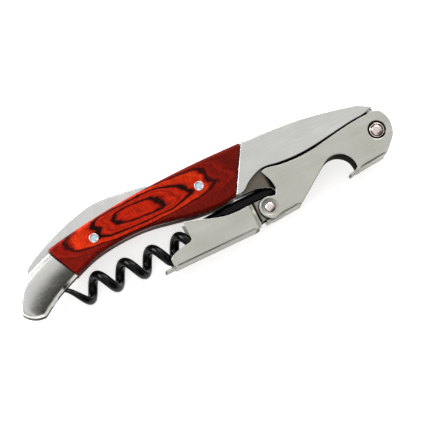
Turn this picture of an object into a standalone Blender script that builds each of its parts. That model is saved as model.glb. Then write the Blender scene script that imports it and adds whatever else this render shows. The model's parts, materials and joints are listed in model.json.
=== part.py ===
"""A waiter's corkscrew, folded: two-step lever, worm and foil knife on a handle.

The tool lies flat on its right-hand side. It is drawn in millimetres on the pivot of
the lever, with +X towards the head, +Y towards the back of the handle and +Z across
the thickness from the mid-plane; shift() then moves it so that the world's origin is
at the middle of the flat side that it lies on. Every pivot is parallel to Z.
"""

from math import cos, hypot, pi, radians, sin

import bmesh
import bpy
from mathutils import Vector
from mathutils.geometry import tessellate_polygon

MM = 0.001

# Overall size
HEAD_X = 4.4
LENGTH = 115.0
TAIL_X = HEAD_X - LENGTH
THICKNESS = 10.0
HALF = THICKNESS / 2
BELLY_Y = -10.8
KNIFE_TOP_Y = 15.7

# Layers, measured out from the mid-plane
SLOT = 1.5
LINER_TOP = 2.5
SCALE_BASE = 2.6
TANG_TOP = 4.1
SHEET = 0.8
FLANGE_BASE = HALF - SHEET
EAR_TOP = 4.1
WEB_HALF = HALF - 0.3
CLEARANCE = 0.1
TRIM = 0.15

# Pivots
LEVER_PIVOT = (0.0, 0.0)
HINGE_PIVOT = (-36.4, -6.65)
WORM_PIVOT = (-29.5, -1.4)
KNIFE_PIVOT = (-103.5, -0.5)

# Pins and rivets
LEVER_RIVET_R = 1.5
BUSH_R = 2.3
HINGE_RIVET_R = 1.4
WORM_PIN_R = 1.2
KNIFE_PIN_R = 1.6
FRAME_PIN_R = 0.9
SCALE_PIN_R = 1.38
FRONT_SCALE_PIN = (-51.6, 7.05)
REAR_SCALE_PIN = (-84.1, 6.45)
SPRING_PIN = (-60.5, 3.0)
SPACER_PIN = (-24.0, 8.5)

# Lever: the notch for crown caps, and the step inwards of the lower lever's ears
NOTCH_CENTRE = (-14.35, -6.15)
NOTCH_R = 5.0
JOGGLE_START = -42.2
JOGGLE_END = -40.4
LOWER_WEB_Y = -10.72

# Worm
WORM_AXIS_Y = -5.4
WORM_TURN_R = 2.8
WIRE_R = 1.2
WORM_PITCH = 8.36
WORM_LAST_TOP_X = -54.5
WORM_TURNS = 5.1
SHANK_Y = -2.2
SHANK_HALF_WIDTH = 1.7
WORM_EAR_R = 2.8

# Fineness of the outlines: points on a round, and the closest that two points may be
ROUND_STEPS = 16
NEAR = 0.28

COLOURS = {
    "bolster_steel": ((0.62, 0.62, 0.60), 0.32, 1.0),
    "sheet_steel": ((0.58, 0.58, 0.56), 0.34, 1.0),
    "blade_steel": ((0.60, 0.60, 0.60), 0.28, 1.0),
    "spring_steel": ((0.45, 0.45, 0.45), 0.40, 1.0),
    "rivet_steel": ((0.80, 0.72, 0.70), 0.25, 1.0),
    "red_wood": ((0.45, 0.045, 0.012), 0.22, 0.0),
    "black_coating": ((0.008, 0.008, 0.009), 0.30, 0.0),
}


def smooth(points, steps=3):
    """A Catmull-Rom curve through the points, ending on the first and the last."""
    ends = [points[0], *points, points[-1]]
    out = []
    for p0, p1, p2, p3 in zip(ends, ends[1:], ends[2:], ends[3:]):
        for i in range(steps):
            t = i / steps
            out.append(tuple(
                0.5 * (2 * b + (c - a) * t + (2 * a - 5 * b + 4 * c - d) * t * t
                       + (3 * b - a - 3 * c + d) * t ** 3)
                for a, b, c, d in zip(p0, p1, p2, p3)))
    return [*out, tuple(points[-1])]


def arc(centre, radius, start, end, steps=8):
    """Points on an arc from one angle to another, in degrees."""
    angles = [radians(start + (end - start) * i / steps) for i in range(steps + 1)]
    return [(centre[0] + radius * cos(a), centre[1] + radius * sin(a)) for a in angles]


def circle(centre, radius, steps=ROUND_STEPS):
    return arc(centre, radius, 0, 360, steps)[:-1]


def chain(*runs):
    """Runs of points joined into one closed outline, without the points they nearly share."""
    out = []
    for run in runs:
        for p in run:
            if not out or hypot(p[0] - out[-1][0], p[1] - out[-1][1]) > NEAR:
                out.append(p)
    if hypot(out[0][0] - out[-1][0], out[0][1] - out[-1][1]) < NEAR:
        out.pop()
    return out


def inset(outline, distance):
    """A counter-clockwise outline moved inwards by a distance."""
    out = []
    count = len(outline)
    for i, p in enumerate(outline):
        before = Vector(p) - Vector(outline[i - 1])
        after = Vector(outline[(i + 1) % count]) - Vector(p)
        normal_a = Vector((-before.y, before.x)).normalized()
        normal_b = Vector((-after.y, after.x)).normalized()
        bisector = (normal_a + normal_b).normalized()
        reach = distance / max(0.6, bisector.dot(normal_a))
        out.append((p[0] + bisector.x * reach, p[1] + bisector.y * reach))
    return out


# Handle edges, from the head to the tail along the back and from the tail along the belly
HEAD_TIP = (1.7, 6.4)
TAIL_END = (TAIL_X, -4.1)
HEAD_BACK = smooth([HEAD_TIP, (-0.3, 8.0), (-3.0, 9.3), (-11.7, 11.2), (-22.0, 12.7), (-35.9, 13.3)], 2)
WOOD_BACK = smooth([(-36.1, 13.3), (-50.0, 13.5), (-64.0, 13.1), (-78.0, 12.0), (-91.1, 10.2), (-96.8, 9.1)])
TAIL_BACK = smooth([(-97.0, 8.3), (-101.4, 6.8), (-106.6, 4.4), (-108.9, 2.2), (-109.9, -1.0), TAIL_END])
TAIL_BELLY = smooth([TAIL_END, (-109.3, -5.6), (-107.2, -6.8), (-104.9, -7.1)])
TAIL_BELLY_STRAIGHT = smooth([(-104.9, -7.1), (-99.9, -4.0), (-95.2, -1.9), (-92.5, -0.8)])
WOOD_BELLY = smooth([(-92.3, -0.7), (-85.2, 1.7), (-77.0, 2.8), (-69.0, 2.7), (-61.5, 1.4), (-55.0, 0.1),
                     (-48.6, -0.4), (-43.7, 0.1)])
FRONT_JOINT = [(-36.0, 13.3), (-43.55, 0.2)]
REAR_JOINT = smooth([(-92.4, -0.8), (-93.8, 1.6), (-96.1, 6.3), (-97.0, 9.1)], 2)

# The stepped part of the handle that goes in between the lever's flanges
TANG_LOWER = chain(
    smooth([(-43.5, 0.0), (-38.2, -0.4), (-35.5, -1.1), (-33.4, -2.2)], 2),
    arc(WORM_PIVOT, 4.0, 195, 378, 12),
    smooth([(-24.0, -0.2), (-18.0, -0.4), (-9.0, -0.4), (-4.6, -0.2)], 2),
    arc(LEVER_PIVOT, 3.8, 190, 410, 14),
    [(2.1, 4.8), HEAD_TIP])
RAISED_LOWER = smooth([(-43.5, 0.1), (-41.0, 0.3), (-38.4, 2.2), (-35.0, 3.7), (-32.4, 4.0), (-28.5, 3.4),
                       (-24.0, 3.15), (-19.0, 3.35), (-12.0, 4.3), (-5.6, 5.2), (-1.5, 5.5), HEAD_TIP])


def reversed_run(run):
    return list(reversed(run))


def wood_outline():
    return chain(WOOD_BACK, reversed_run(REAR_JOINT), WOOD_BELLY, reversed_run(FRONT_JOINT))


def tang_outline():
    return chain(HEAD_BACK, FRONT_JOINT, TANG_LOWER)


def raised_outline():
    return chain(HEAD_BACK, FRONT_JOINT, RAISED_LOWER)


def liner_outline():
    return chain(HEAD_BACK, WOOD_BACK, TAIL_BACK, TAIL_BELLY, TAIL_BELLY_STRAIGHT, WOOD_BELLY, TANG_LOWER)


def shift(x, y, z):
    """From millimetres on the lever's pivot to metres on the tool's resting side."""
    return Vector((x - (HEAD_X + TAIL_X) / 2, y - (BELLY_Y + KNIFE_TOP_Y) / 2, z + HALF)) * MM


def material(name):
    found = bpy.data.materials.get(name)
    if found:
        return found
    colour, roughness, metallic = COLOURS[name]
    made = bpy.data.materials.new(name)
    made.use_nodes = True
    shader = made.node_tree.nodes["Principled BSDF"]
    shader.inputs["Base Color"].default_value = (*colour, 1)
    shader.inputs["Roughness"].default_value = roughness
    shader.inputs["Metallic"].default_value = metallic
    return made


def pivot_empty(name, centre, parent=None):
    """An empty on a joint's axis, at the mid-plane, that carries the pieces of one body."""
    made = bpy.data.objects.new(name, None)
    bpy.context.scene.collection.objects.link(made)
    here = shift(*centre, 0)
    made["place"] = here
    made.parent = parent
    made.location = here - Vector(parent["place"]) if parent else here
    return made


def add_object(name, mesh_data, parent, material_name):
    """A piece, drawn on the lever's pivot, whose own origin is its body's pivot."""
    points, faces = mesh_data
    origin = Vector(parent["place"])
    mesh = bpy.data.meshes.new(name)
    mesh.from_pydata([shift(*p) - origin for p in points], [], faces)
    mesh.validate()
    mesh.shade_smooth()
    mesh.set_sharp_from_angle(angle=radians(30))
    mesh.materials.append(material(material_name))
    made = bpy.data.objects.new(name, mesh)
    bpy.context.scene.collection.objects.link(made)
    made.parent = parent
    return made


def plate(outline, levels, holes=()):
    """A solid of one outline. levels are (z, inset) pairs from its base up; holes go through."""
    points = []
    faces = []
    count = len(outline)
    for z, distance in levels:
        points += [(x, y, z) for x, y in (inset(outline, distance) if distance else outline)]
    for level in range(len(levels) - 1):
        base = level * count
        for i in range(count):
            j = (i + 1) % count
            faces.append((base + i, base + j, base + count + j, base + count + i))
    bottom_ids = list(range(count))
    top_ids = list(range(count * (len(levels) - 1), count * len(levels)))
    loops = [[]]
    for hole in holes:
        first = len(points)
        size = len(hole)
        points += [(x, y, levels[0][0]) for x, y in hole]
        points += [(x, y, levels[-1][0]) for x, y in hole]
        bottom_ids += range(first, first + size)
        top_ids += range(first + size, first + 2 * size)
        loops.append(hole)
        for i in range(size):
            j = (i + 1) % size
            faces.append((first + j, first + i, first + size + i, first + size + j))
    for ids, up in ((bottom_ids, False), (top_ids, True)):
        loops[0] = [points[i][:2] for i in ids[:count]]
        flat = [Vector((x, y, 0)) for loop in loops for x, y in loop]
        for a, b, c in tessellate_polygon([[Vector((x, y, 0)) for x, y in loop] for loop in loops]):
            counter = (flat[b] - flat[a]).cross(flat[c] - flat[a]).z > 0
            triangle = (ids[a], ids[b], ids[c])
            faces.append(triangle if counter == up else triangle[::-1])
    return points, faces


def turned_over(mesh_data):
    """The same solid mirrored to the other side of the mid-plane."""
    points, faces = mesh_data
    return [(x, y, -z) for x, y, z in points], [face[::-1] for face in faces]


def united(name, solids, parent, material_name):
    """Overlapping solids made into one body by Boolean unions."""
    body = add_object(name, solids[0], parent, material_name)
    for i, solid in enumerate(solids[1:]):
        tool = add_object(f"{name}_cutter_{i}", solid, parent, material_name)
        tool.hide_render = True
        tool.display_type = "WIRE"
        union = body.modifiers.new(f"join_{i}", "BOOLEAN")
        union.operation = "UNION"
        union.object = tool
    return body


def each_side(name, mesh_data, parent, material_name):
    """The left-hand piece, on top, and its mirror image on the right."""
    add_object(f"{name}_left", mesh_data, parent, material_name)
    add_object(f"{name}_right", turned_over(mesh_data), parent, material_name)


def pin(centre, radius, low, high, edge=0.15):
    """A round pin with broken edges."""
    levels = [(low, edge), (low + edge, 0), (high - edge, 0), (high, edge)]
    return plate(circle(centre, radius), levels)


def liners(handle):
    holes = [circle(LEVER_PIVOT, LEVER_RIVET_R + CLEARANCE),
             circle(WORM_PIVOT, WORM_PIN_R + CLEARANCE, 16),
             circle(KNIFE_PIVOT, KNIFE_PIN_R + CLEARANCE, 16),
             *[circle(p, SCALE_PIN_R + CLEARANCE, 16) for p in (FRONT_SCALE_PIN, REAR_SCALE_PIN)],
             *[circle(p, FRAME_PIN_R + CLEARANCE, 12) for p in (SPRING_PIN, SPACER_PIN)]]
    levels = [(SLOT, 0), (LINER_TOP, 0)]
    each_side("liner", plate(inset(liner_outline(), TRIM), levels, holes), handle, "spring_steel")


def front_bolsters(handle):
    """A cast bolster: its raised face stops at a curved step, and its tang goes on under the lever."""
    tang_holes = [circle(LEVER_PIVOT, LEVER_RIVET_R + CLEARANCE),
                  circle(WORM_PIVOT, WORM_PIN_R + CLEARANCE)]
    tang = plate(inset(tang_outline(), CLEARANCE / 2), [(SCALE_BASE, 0), (TANG_TOP, 0)], tang_holes)
    raised_levels = [(SCALE_BASE + TRIM, 0), (HALF - 0.25, 0), (HALF, 0.2)]
    raised = plate(inset(raised_outline(), CLEARANCE), raised_levels)
    united("front_bolster_left", [tang, raised], handle, "bolster_steel")
    united("front_bolster_right", [turned_over(tang), turned_over(raised)], handle, "bolster_steel")


def along(run, share):
    """The point at a share of a run's length."""
    lengths = [hypot(b[0] - a[0], b[1] - a[1]) for a, b in zip(run, run[1:])]
    left = share * sum(lengths)
    for (a, b), length in zip(zip(run, run[1:]), lengths):
        if left <= length:
            return mixed(a, b, left / length)
        left -= length
    return run[-1]


def mixed(a, b, share):
    return (a[0] + (b[0] - a[0]) * share, a[1] + (b[1] - a[1]) * share)


def rear_bolster_shape(ribs=11, columns=10, edge_z=3.1, tail_fall=0.45):
    """A domed cap: ribs from the belly to the back, each a low arch, falling away at the tail."""
    belly = chain(REAR_JOINT[:1], reversed_run(TAIL_BELLY_STRAIGHT), reversed_run(TAIL_BELLY))[:-1]
    back = chain(TAIL_BACK)
    rows = []
    for i in range(ribs):
        u = i / (ribs - 1) * 0.97
        low, high = along(belly, u), along(back, u)
        bow = 1 - u
        fall = (1 - max(0.0, (u - 1 + tail_fall) / tail_fall) ** 2.4) ** 0.5
        row = []
        for k in range(columns + 1):
            v = k / columns
            arch = max(0.0, 1 - abs(2 * v - 1) ** 2.6) ** 0.5
            joint = along(REAR_JOINT, v)
            chord = mixed(REAR_JOINT[0], REAR_JOINT[-1], v)
            here = mixed(low, high, v)
            row.append((here[0] + (joint[0] - chord[0]) * bow - TRIM, here[1] + (joint[1] - chord[1]) * bow,
                        edge_z + (HALF - edge_z) * arch * fall))
        rows.append(row)
    width = columns + 1
    points = [p for row in rows for p in row]
    top = len(points)
    faces = [(i * width + k, i * width + k + 1, (i + 1) * width + k + 1, (i + 1) * width + k)
             for i in range(ribs - 1) for k in range(columns)]
    points += [(x, y, SCALE_BASE) for x, y, z in points]
    faces += [tuple(top + n for n in reversed(face)) for face in faces]
    border = (list(range(columns)) + [i * width + columns for i in range(ribs - 1)]
              + [(ribs - 1) * width + k for k in range(columns, 0, -1)]
              + [i * width for i in range(ribs - 1, 0, -1)])
    for a, b in zip(border, border[1:] + border[:1]):
        faces.append((b, a, top + a, top + b))
    return points, faces


def rear_bolsters(handle):
    each_side("rear_bolster", rear_bolster_shape(), handle, "bolster_steel")


def wood_scales(handle):
    """A slab of hardwood between the bolsters, rounded over at its long edges."""
    holes = [circle(p, SCALE_PIN_R + CLEARANCE / 2, 16) for p in (FRONT_SCALE_PIN, REAR_SCALE_PIN)]
    levels = [(SCALE_BASE, 0), (HALF - 0.7, 0), (HALF - 0.25, 0.35), (HALF - 0.05, 0.8)]
    each_side("wood_scale", plate(inset(wood_outline(), CLEARANCE / 2), levels, holes), handle, "red_wood")


def scale_pins(handle):
    for name, place in (("front", FRONT_SCALE_PIN), ("rear", REAR_SCALE_PIN)):
        shape = pin(place, SCALE_PIN_R, SLOT + CLEARANCE, HALF)
        each_side(f"scale_pin_{name}", shape, handle, "rivet_steel")


def main_spring(handle):
    """The leaf along the belly that presses on the knife's tang and on the worm's ear."""
    lower = smooth([(-98.9, -2.2), (-95.0, -0.8), (-90.0, 0.9), (-84.0, 2.3), (-77.0, 3.1), (-69.0, 3.0),
                    (-61.5, 1.8), (-54.0, 0.5), (-46.0, 0.2), (-38.0, 0.5), (-32.0, 1.6), (-27.2, 1.7)], 2)
    upper = smooth([(-27.2, 3.3), (-38.0, 2.4), (-46.0, 2.1), (-54.0, 2.4), (-60.5, 4.4), (-69.0, 4.8),
                    (-77.0, 4.8), (-84.0, 4.0), (-90.0, 2.5), (-95.0, 0.7), (-98.5, -0.9)], 2)
    hole = circle(SPRING_PIN, FRAME_PIN_R + CLEARANCE / 2, 12)
    half = SLOT - 2 * CLEARANCE
    leaf = plate(chain(lower, upper), [(-half, 0), (half, 0)], [hole])
    add_object("main_spring", leaf, handle, "spring_steel")


def head_spacer(handle):
    """The bar that holds the liners apart along the back of the head."""
    lower = chain(smooth([(-59.0, 8.0), (-50.0, 5.4), (-40.0, 4.6), (-30.0, 4.5), (-24.0, 4.0), (-17.0, 1.8),
                          (-9.0, 0.6), (-4.4, -0.2)], 2),
                  arc(LEVER_PIVOT, 3.6, 190, 410, 12), [(1.9, 4.7)])
    upper = inset(chain(HEAD_BACK, [p for p in WOOD_BACK if p[0] > -58.0], [(-58.6, 13.3), (-40.0, 6.0)]),
                  2 * TRIM)[:-1]
    holes = [circle(LEVER_PIVOT, LEVER_RIVET_R + CLEARANCE),
             circle(SPACER_PIN, FRAME_PIN_R + CLEARANCE / 2, 12)]
    half = SLOT - CLEARANCE
    bar = plate(chain(lower, upper), [(-half, 0), (half, 0)], holes)
    add_object("head_spacer", bar, handle, "spring_steel")


def frame_pins(handle):
    """The pins inside the handle: through the liners, the spring, the spacer and the two tools."""
    for name, place, radius, reach in (("spring_pin", SPRING_PIN, FRAME_PIN_R, LINER_TOP),
                                       ("spacer_pin", SPACER_PIN, FRAME_PIN_R, LINER_TOP),
                                       ("knife_pin", KNIFE_PIVOT, KNIFE_PIN_R, LINER_TOP),
                                       ("worm_pin", WORM_PIVOT, WORM_PIN_R, TANG_TOP - CLEARANCE)):
        add_object(name, pin(place, radius, -reach, reach), handle, "spring_steel")


def lever_bushes(handle):
    """The short bush on each side that the lever's flanges turn on."""
    levels = [(TANG_TOP + CLEARANCE, 0), (HALF - 0.3, 0), (HALF - 0.15, 0.12)]
    ring = plate(circle(LEVER_PIVOT, BUSH_R, 24), levels, [circle(LEVER_PIVOT, LEVER_RIVET_R + CLEARANCE / 2)])
    each_side("lever_bush", ring, handle, "rivet_steel")


def lever_rivet(handle):
    add_object("lever_rivet", pin(LEVER_PIVOT, LEVER_RIVET_R, -HALF, HALF, 0.25), handle, "rivet_steel")


def upper_flange_outline():
    """One side of the upper lever, with the notch that grips a crown cap."""
    head = smooth([(-0.5, -7.05), (2.0, -4.7), (3.6, -2.8), (HEAD_X, 0.2), (3.8, 2.8), (2.2, 4.7),
                   (0.0, 5.2)])
    top = smooth([(0.0, 5.2), (-5.6, 4.85), (-12.0, 3.9), (-19.0, 2.75), (-24.0, 2.5), (-28.5, 2.8),
                  (-32.6, 3.6), (-34.4, 3.3)])
    left = smooth([(-34.4, 3.3), (-33.1, 0.3), (-32.7, -2.5), (-33.6, -4.3)])
    knuckle = arc(HINGE_PIVOT, 2.95, 62, 235, 10)
    hinge_edge = [(-37.2, -9.9), (-36.2, -10.1), (-28.0, -9.55), (-27.3, -9.0)]
    notch = arc(NOTCH_CENTRE, NOTCH_R, 124, -22, 12)
    return chain(head, top, left, knuckle, hinge_edge, notch)


def strip(start, end, half_width):
    """A length of the lever's web: outer edge from start to end, one sheet thick, across the mid-plane."""
    along_x, along_y = end[0] - start[0], end[1] - start[1]
    length = hypot(along_x, along_y)
    across, up = -along_y / length * SHEET, along_x / length * SHEET
    outline = [start, end, (end[0] + across, end[1] + up), (start[0] + across, start[1] + up)]
    return plate(outline, [(-half_width, 0), (half_width, 0)])


def upper_lever(pivot):
    """A channel of folded sheet: two flanges, the head's web and the hinge's web, each with a lip."""
    holes = [circle(LEVER_PIVOT, BUSH_R + CLEARANCE, 24), circle(HINGE_PIVOT, HINGE_RIVET_R + CLEARANCE)]
    flange = plate(upper_flange_outline(), [(FLANGE_BASE, 0), (HALF, 0)], holes)
    rise = 0.03
    solids = [flange,
              strip((-9.85, -7.95 + rise), (-0.55, -7.02 + rise), WEB_HALF),
              turned_over(flange),
              strip((-33.4, -9.93 + rise), (-28.1, -9.55 + rise), WEB_HALF),
              strip((-12.2, -8.15 + rise), (-8.5, -7.8 + rise), 2.4),
              strip((-38.7, -10.3 + rise), (-32.5, -9.87 + rise), 3.0)]
    united("upper_lever", solids, pivot, "sheet_steel")


def hinge_rivet(pivot):
    add_object("hinge_rivet", pin(HINGE_PIVOT, HINGE_RIVET_R, -HALF, HALF, 0.2), pivot, "rivet_steel")


def lower_flange():
    """One side of the lower lever, stepped inwards so that its ear goes inside the upper lever."""
    top = smooth([(-40.4, -3.7), (-44.7, -3.9), (-48.8, -3.6), (-52.6, -2.5), (-56.6, -1.1), (-59.95, 0.0)])
    left = chain(smooth([(-59.95, -5.4), (-60.6, -5.9), (-64.5, -6.6), (-67.0, -7.6), (-67.5, -8.6),
                         (-67.4, -10.2)]), [(-66.9, -10.75)])
    ear = chain([(-42.2, -10.75), (-41.0, -10.75), (-40.4, -9.4), (-38.4, -9.15)],
                arc(HINGE_PIVOT, 2.5, 262, 430, 10), [(-36.4, -3.7)])
    points, faces = plate(chain(ear, top, left), [(FLANGE_BASE, 0), (HALF, 0)],
                          [circle(HINGE_PIVOT, HINGE_RIVET_R + CLEARANCE)])
    flat = bmesh.new()
    corners = [flat.verts.new(p) for p in points]
    for face in faces:
        flat.faces.new([corners[i] for i in face])
    for x in (JOGGLE_START, JOGGLE_END):
        bmesh.ops.bisect_plane(flat, geom=flat.verts[:] + flat.edges[:] + flat.faces[:], dist=0.001,
                               plane_co=(x, 0, 0), plane_no=(1, 0, 0))
    step = HALF - EAR_TOP
    for corner in flat.verts:
        share = (corner.co.x - JOGGLE_START) / (JOGGLE_END - JOGGLE_START)
        corner.co.z -= step * min(1.0, max(0.0, share))
    bmesh.ops.triangulate(flat, faces=flat.faces[:])
    flat.verts.index_update()
    result = [tuple(v.co) for v in flat.verts], [tuple(v.index for v in face.verts) for face in flat.faces]
    flat.free()
    return result


def lower_lever(pivot):
    flange = lower_flange()
    solids = [flange, strip((-67.0, LOWER_WEB_Y), (-42.3, LOWER_WEB_Y), WEB_HALF), turned_over(flange),
              strip((-70.0, LOWER_WEB_Y - 0.06), (-66.0, LOWER_WEB_Y + 0.04), 2.6)]
    united("lower_lever", solids, pivot, "sheet_steel")


def worm_sections():
    """Centre, half width and half thickness along the worm, from its point to its shank."""
    steps = 16
    total = int(WORM_TURNS * steps)
    sections = []
    for i in range(total):
        turn = -WORM_TURNS + i / steps
        if turn > -0.1:
            break
        from_tip = i / steps
        taper = min(1.0, 0.12 + from_tip / 0.75)
        radius = WORM_TURN_R + 0.5 * max(0.0, 1 - from_tip / 0.6)
        angle = 2 * pi * turn
        centre = (WORM_LAST_TOP_X + WORM_PITCH * turn, WORM_AXIS_Y + radius * cos(angle), radius * sin(angle))
        sections.append((centre, WIRE_R * taper, WIRE_R * taper))
    wide = SHANK_HALF_WIDTH
    thick = WIRE_R - 0.05
    sections += [((-54.5, -2.55, -0.55), 1.2, 1.2), ((-53.2, -2.4, -0.05), 1.3, 1.2),
                 ((-51.5, -2.3, 0), 1.45, 1.2), ((-49.0, SHANK_Y, 0), wide, thick),
                 ((-40.0, SHANK_Y, 0), wide, thick), ((-33.0, SHANK_Y, 0), wide, thick),
                 ((-31.0, SHANK_Y, 0), 1.2, thick - 0.05)]
    return sections


def swept(sections, sides=8):
    """A closed solid through the sections, each a ring square to the path."""
    points, faces = [], []
    up = Vector((0, 1, 0))
    for i, (centre, half_y, half_z) in enumerate(sections):
        after = sections[min(i + 1, len(sections) - 1)][0]
        before = sections[max(i - 1, 0)][0]
        tangent = (Vector(after) - Vector(before)).normalized()
        if abs(tangent.x) < 0.8:
            up = Vector((0, centre[1] - WORM_AXIS_Y, centre[2])).normalized()
        else:
            up = Vector((0, 1, 0))
        side = tangent.cross(up).normalized()
        up = side.cross(tangent).normalized()
        for k in range(sides):
            angle = 2 * pi * (k + 0.5) / sides
            points.append(tuple(Vector(centre) + up * half_y * cos(angle) + side * half_z * sin(angle)))
    for i in range(len(sections) - 1):
        for k in range(sides):
            j = (k + 1) % sides
            a, b = i * sides, (i + 1) * sides
            faces.append((a + k, a + j, b + j, b + k))
    faces.append(tuple(reversed(range(sides))))
    faces.append(tuple(range(len(points) - sides, len(points))))
    return points, faces


def worm(pivot):
    """The screw, its flattened shank and the eye that it swings on."""
    eye = plate(circle(WORM_PIVOT, WORM_EAR_R, 24), [(-WIRE_R, 0), (WIRE_R, 0)],
                [circle(WORM_PIVOT, WORM_PIN_R + CLEARANCE, 16)])
    united("worm", [eye, swept(worm_sections())], pivot, "black_coating")


def foil_knife(pivot):
    """The curved foil blade. Its edge lies inside the handle and its back stands proud of it."""
    edge = smooth([(-98.8, -1.0), (-96.2, 1.4), (-92.0, 3.6), (-84.0, 5.8), (-76.0, 7.2), (-69.0, 9.0),
                   (-62.2, 12.4)])
    back = smooth([(-62.2, 12.4), (-63.7, 13.6), (-68.0, 14.6), (-74.0, 15.4), (-79.1, KNIFE_TOP_Y),
                   (-84.0, 15.1), (-90.8, 13.2), (-97.5, 10.6), (-102.6, 8.1), (-104.35, 6.9)], 2)
    tang = chain([(-105.0, 5.2)], arc(KNIFE_PIVOT, 4.8, 130, 350, 14))
    hole = circle(KNIFE_PIVOT, KNIFE_PIN_R + CLEARANCE, 16)
    blade = plate(chain(edge, back, tang), [(-0.9, 0), (0.9, 0)], [hole])
    half = SLOT - CLEARANCE
    boss = plate(circle(KNIFE_PIVOT, 4.0), [(-half, 0), (half, 0)], [hole])
    united("foil_knife", [blade, boss], pivot, "blade_steel")


def main():
    for old in list(bpy.data.objects):
        bpy.data.objects.remove(old)
    handle = pivot_empty("handle_frame", LEVER_PIVOT)
    upper = pivot_empty("upper_lever_pivot", LEVER_PIVOT, handle)
    lower = pivot_empty("lower_lever_pivot", HINGE_PIVOT, upper)
    worm_swing = pivot_empty("worm_pivot", WORM_PIVOT, handle)
    knife_swing = pivot_empty("knife_pivot", KNIFE_PIVOT, handle)
    for make in (liners, front_bolsters, rear_bolsters, wood_scales, scale_pins, main_spring, head_spacer,
                 frame_pins, lever_bushes, lever_rivet):
        make(handle)
    upper_lever(upper)
    hinge_rivet(upper)
    lower_lever(lower)
    worm(worm_swing)
    foil_knife(knife_swing)


main()
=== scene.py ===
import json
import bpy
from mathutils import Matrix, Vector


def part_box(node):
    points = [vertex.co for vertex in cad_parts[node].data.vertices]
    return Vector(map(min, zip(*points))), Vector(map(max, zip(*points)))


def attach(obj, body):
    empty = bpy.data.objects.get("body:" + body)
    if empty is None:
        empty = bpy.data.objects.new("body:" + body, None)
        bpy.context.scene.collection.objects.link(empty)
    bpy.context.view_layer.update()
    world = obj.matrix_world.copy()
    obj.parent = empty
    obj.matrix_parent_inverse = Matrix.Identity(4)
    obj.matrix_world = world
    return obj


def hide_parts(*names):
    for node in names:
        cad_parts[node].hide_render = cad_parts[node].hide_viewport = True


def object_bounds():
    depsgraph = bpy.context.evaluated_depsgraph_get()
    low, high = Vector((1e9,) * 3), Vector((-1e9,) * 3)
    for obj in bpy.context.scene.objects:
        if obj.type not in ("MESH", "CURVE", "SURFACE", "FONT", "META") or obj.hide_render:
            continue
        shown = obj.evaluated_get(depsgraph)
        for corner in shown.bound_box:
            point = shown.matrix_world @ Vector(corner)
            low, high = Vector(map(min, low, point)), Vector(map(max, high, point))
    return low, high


bl_info = {
    "name": "Waiter's corkscrew",
    "version": (1, 0, 0),
    "blender": (4, 5, 0),
    "location": "View3D > Sidebar > Corkscrew",
    "description": "Builds the finished surfaces of a folding waiter's corkscrew round its packed model",
    "category": "Add Mesh",
}

from math import cos, hypot, pi, radians, sin, sqrt

import bmesh
import bpy
from mathutils import Matrix, Vector
from mathutils.geometry import tessellate_polygon

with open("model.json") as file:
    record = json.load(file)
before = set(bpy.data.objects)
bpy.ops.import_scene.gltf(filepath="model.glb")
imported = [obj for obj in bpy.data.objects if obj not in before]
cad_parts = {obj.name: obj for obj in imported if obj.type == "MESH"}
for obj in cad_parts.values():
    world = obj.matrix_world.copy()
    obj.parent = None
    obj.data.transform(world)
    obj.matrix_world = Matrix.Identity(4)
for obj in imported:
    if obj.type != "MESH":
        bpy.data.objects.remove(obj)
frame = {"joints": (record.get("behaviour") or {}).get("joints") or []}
CAD_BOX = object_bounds()

MM = 0.001
JOINTS = {joint["name"]: Vector(joint["pos_m"]) for joint in frame["joints"]}
LEVER = JOINTS["lever_swing"]


def layer(node, end):
    """How far a node's lower (0) or upper (1) side is from the mid-plane, in millimetres."""
    return (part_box(node)[end].z - LEVER.z) / MM


def pivot_mm(joint):
    """A joint's place in millimetres from the lever's pivot, on which the tool is drawn."""
    return ((JOINTS[joint].x - LEVER.x) / MM, (JOINTS[joint].y - LEVER.y) / MM)


HALF = layer("upper_lever", 1)
SHEET = 0.8
FLANGE_BASE = HALF - SHEET
SLOT = layer("liner_left", 0)
LINER_TOP = layer("liner_left", 1)
SCALE_BASE = layer("front_bolster_left", 0)
TANG_TOP = layer("worm_pin", 1) + 0.1
EAR_DROP = 0.9
HINGE = pivot_mm("lower_lever_swing")
WORM_EYE = pivot_mm("worm_swing")
KNIFE_EYE = pivot_mm("knife_swing")
ORIGIN = (0.0, 0.0)
HEAD_X = (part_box("upper_lever")[1].x - LEVER.x) / MM
TAIL_X = (CAD_BOX[0].x - LEVER.x) / MM
KNIFE_TOP_Y = (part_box("foil_knife")[1].y - LEVER.y) / MM

LEVER_RIVET_R = 1.5
BUSH_R = 2.3
HINGE_RIVET_R = 1.4
WORM_PIN_R = 1.2
KNIFE_PIN_R = 1.6
FRAME_PIN_R = 0.9
SCALE_PIN_R = 1.38
SCALE_PINS = ((-51.6, 7.05), (-84.1, 6.45))
SPRING_PIN = (-60.5, 3.0)
SPACER_PIN = (-24.0, 8.5)

ROUND_SIDES = 48
SHARPEST_MITRE = 0.6

# The angles, in degrees, from which an edge is drawn sharp: on most pieces and on domed ones.
FLAT_TO_SHARP = 35
DOME_SHARP = 50


# ---------------------------------------------------------------- outlines

def smooth(points, steps=6):
    """A Catmull-Rom curve through the points, ending on the first and the last."""
    ends = [points[0], *points, points[-1]]
    out = []
    for p0, p1, p2, p3 in zip(ends, ends[1:], ends[2:], ends[3:]):
        for i in range(steps):
            t = i / steps
            out.append(tuple(
                0.5 * (2 * b + (c - a) * t + (2 * a - 5 * b + 4 * c - d) * t * t
                       + (3 * b - a - 3 * c + d) * t ** 3)
                for a, b, c, d in zip(p0, p1, p2, p3)))
    return [*out, tuple(points[-1])]


def arc(centre, radius, start, end, steps=24):
    angles = [radians(start + (end - start) * i / steps) for i in range(steps + 1)]
    return [(centre[0] + radius * cos(a), centre[1] + radius * sin(a)) for a in angles]


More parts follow.
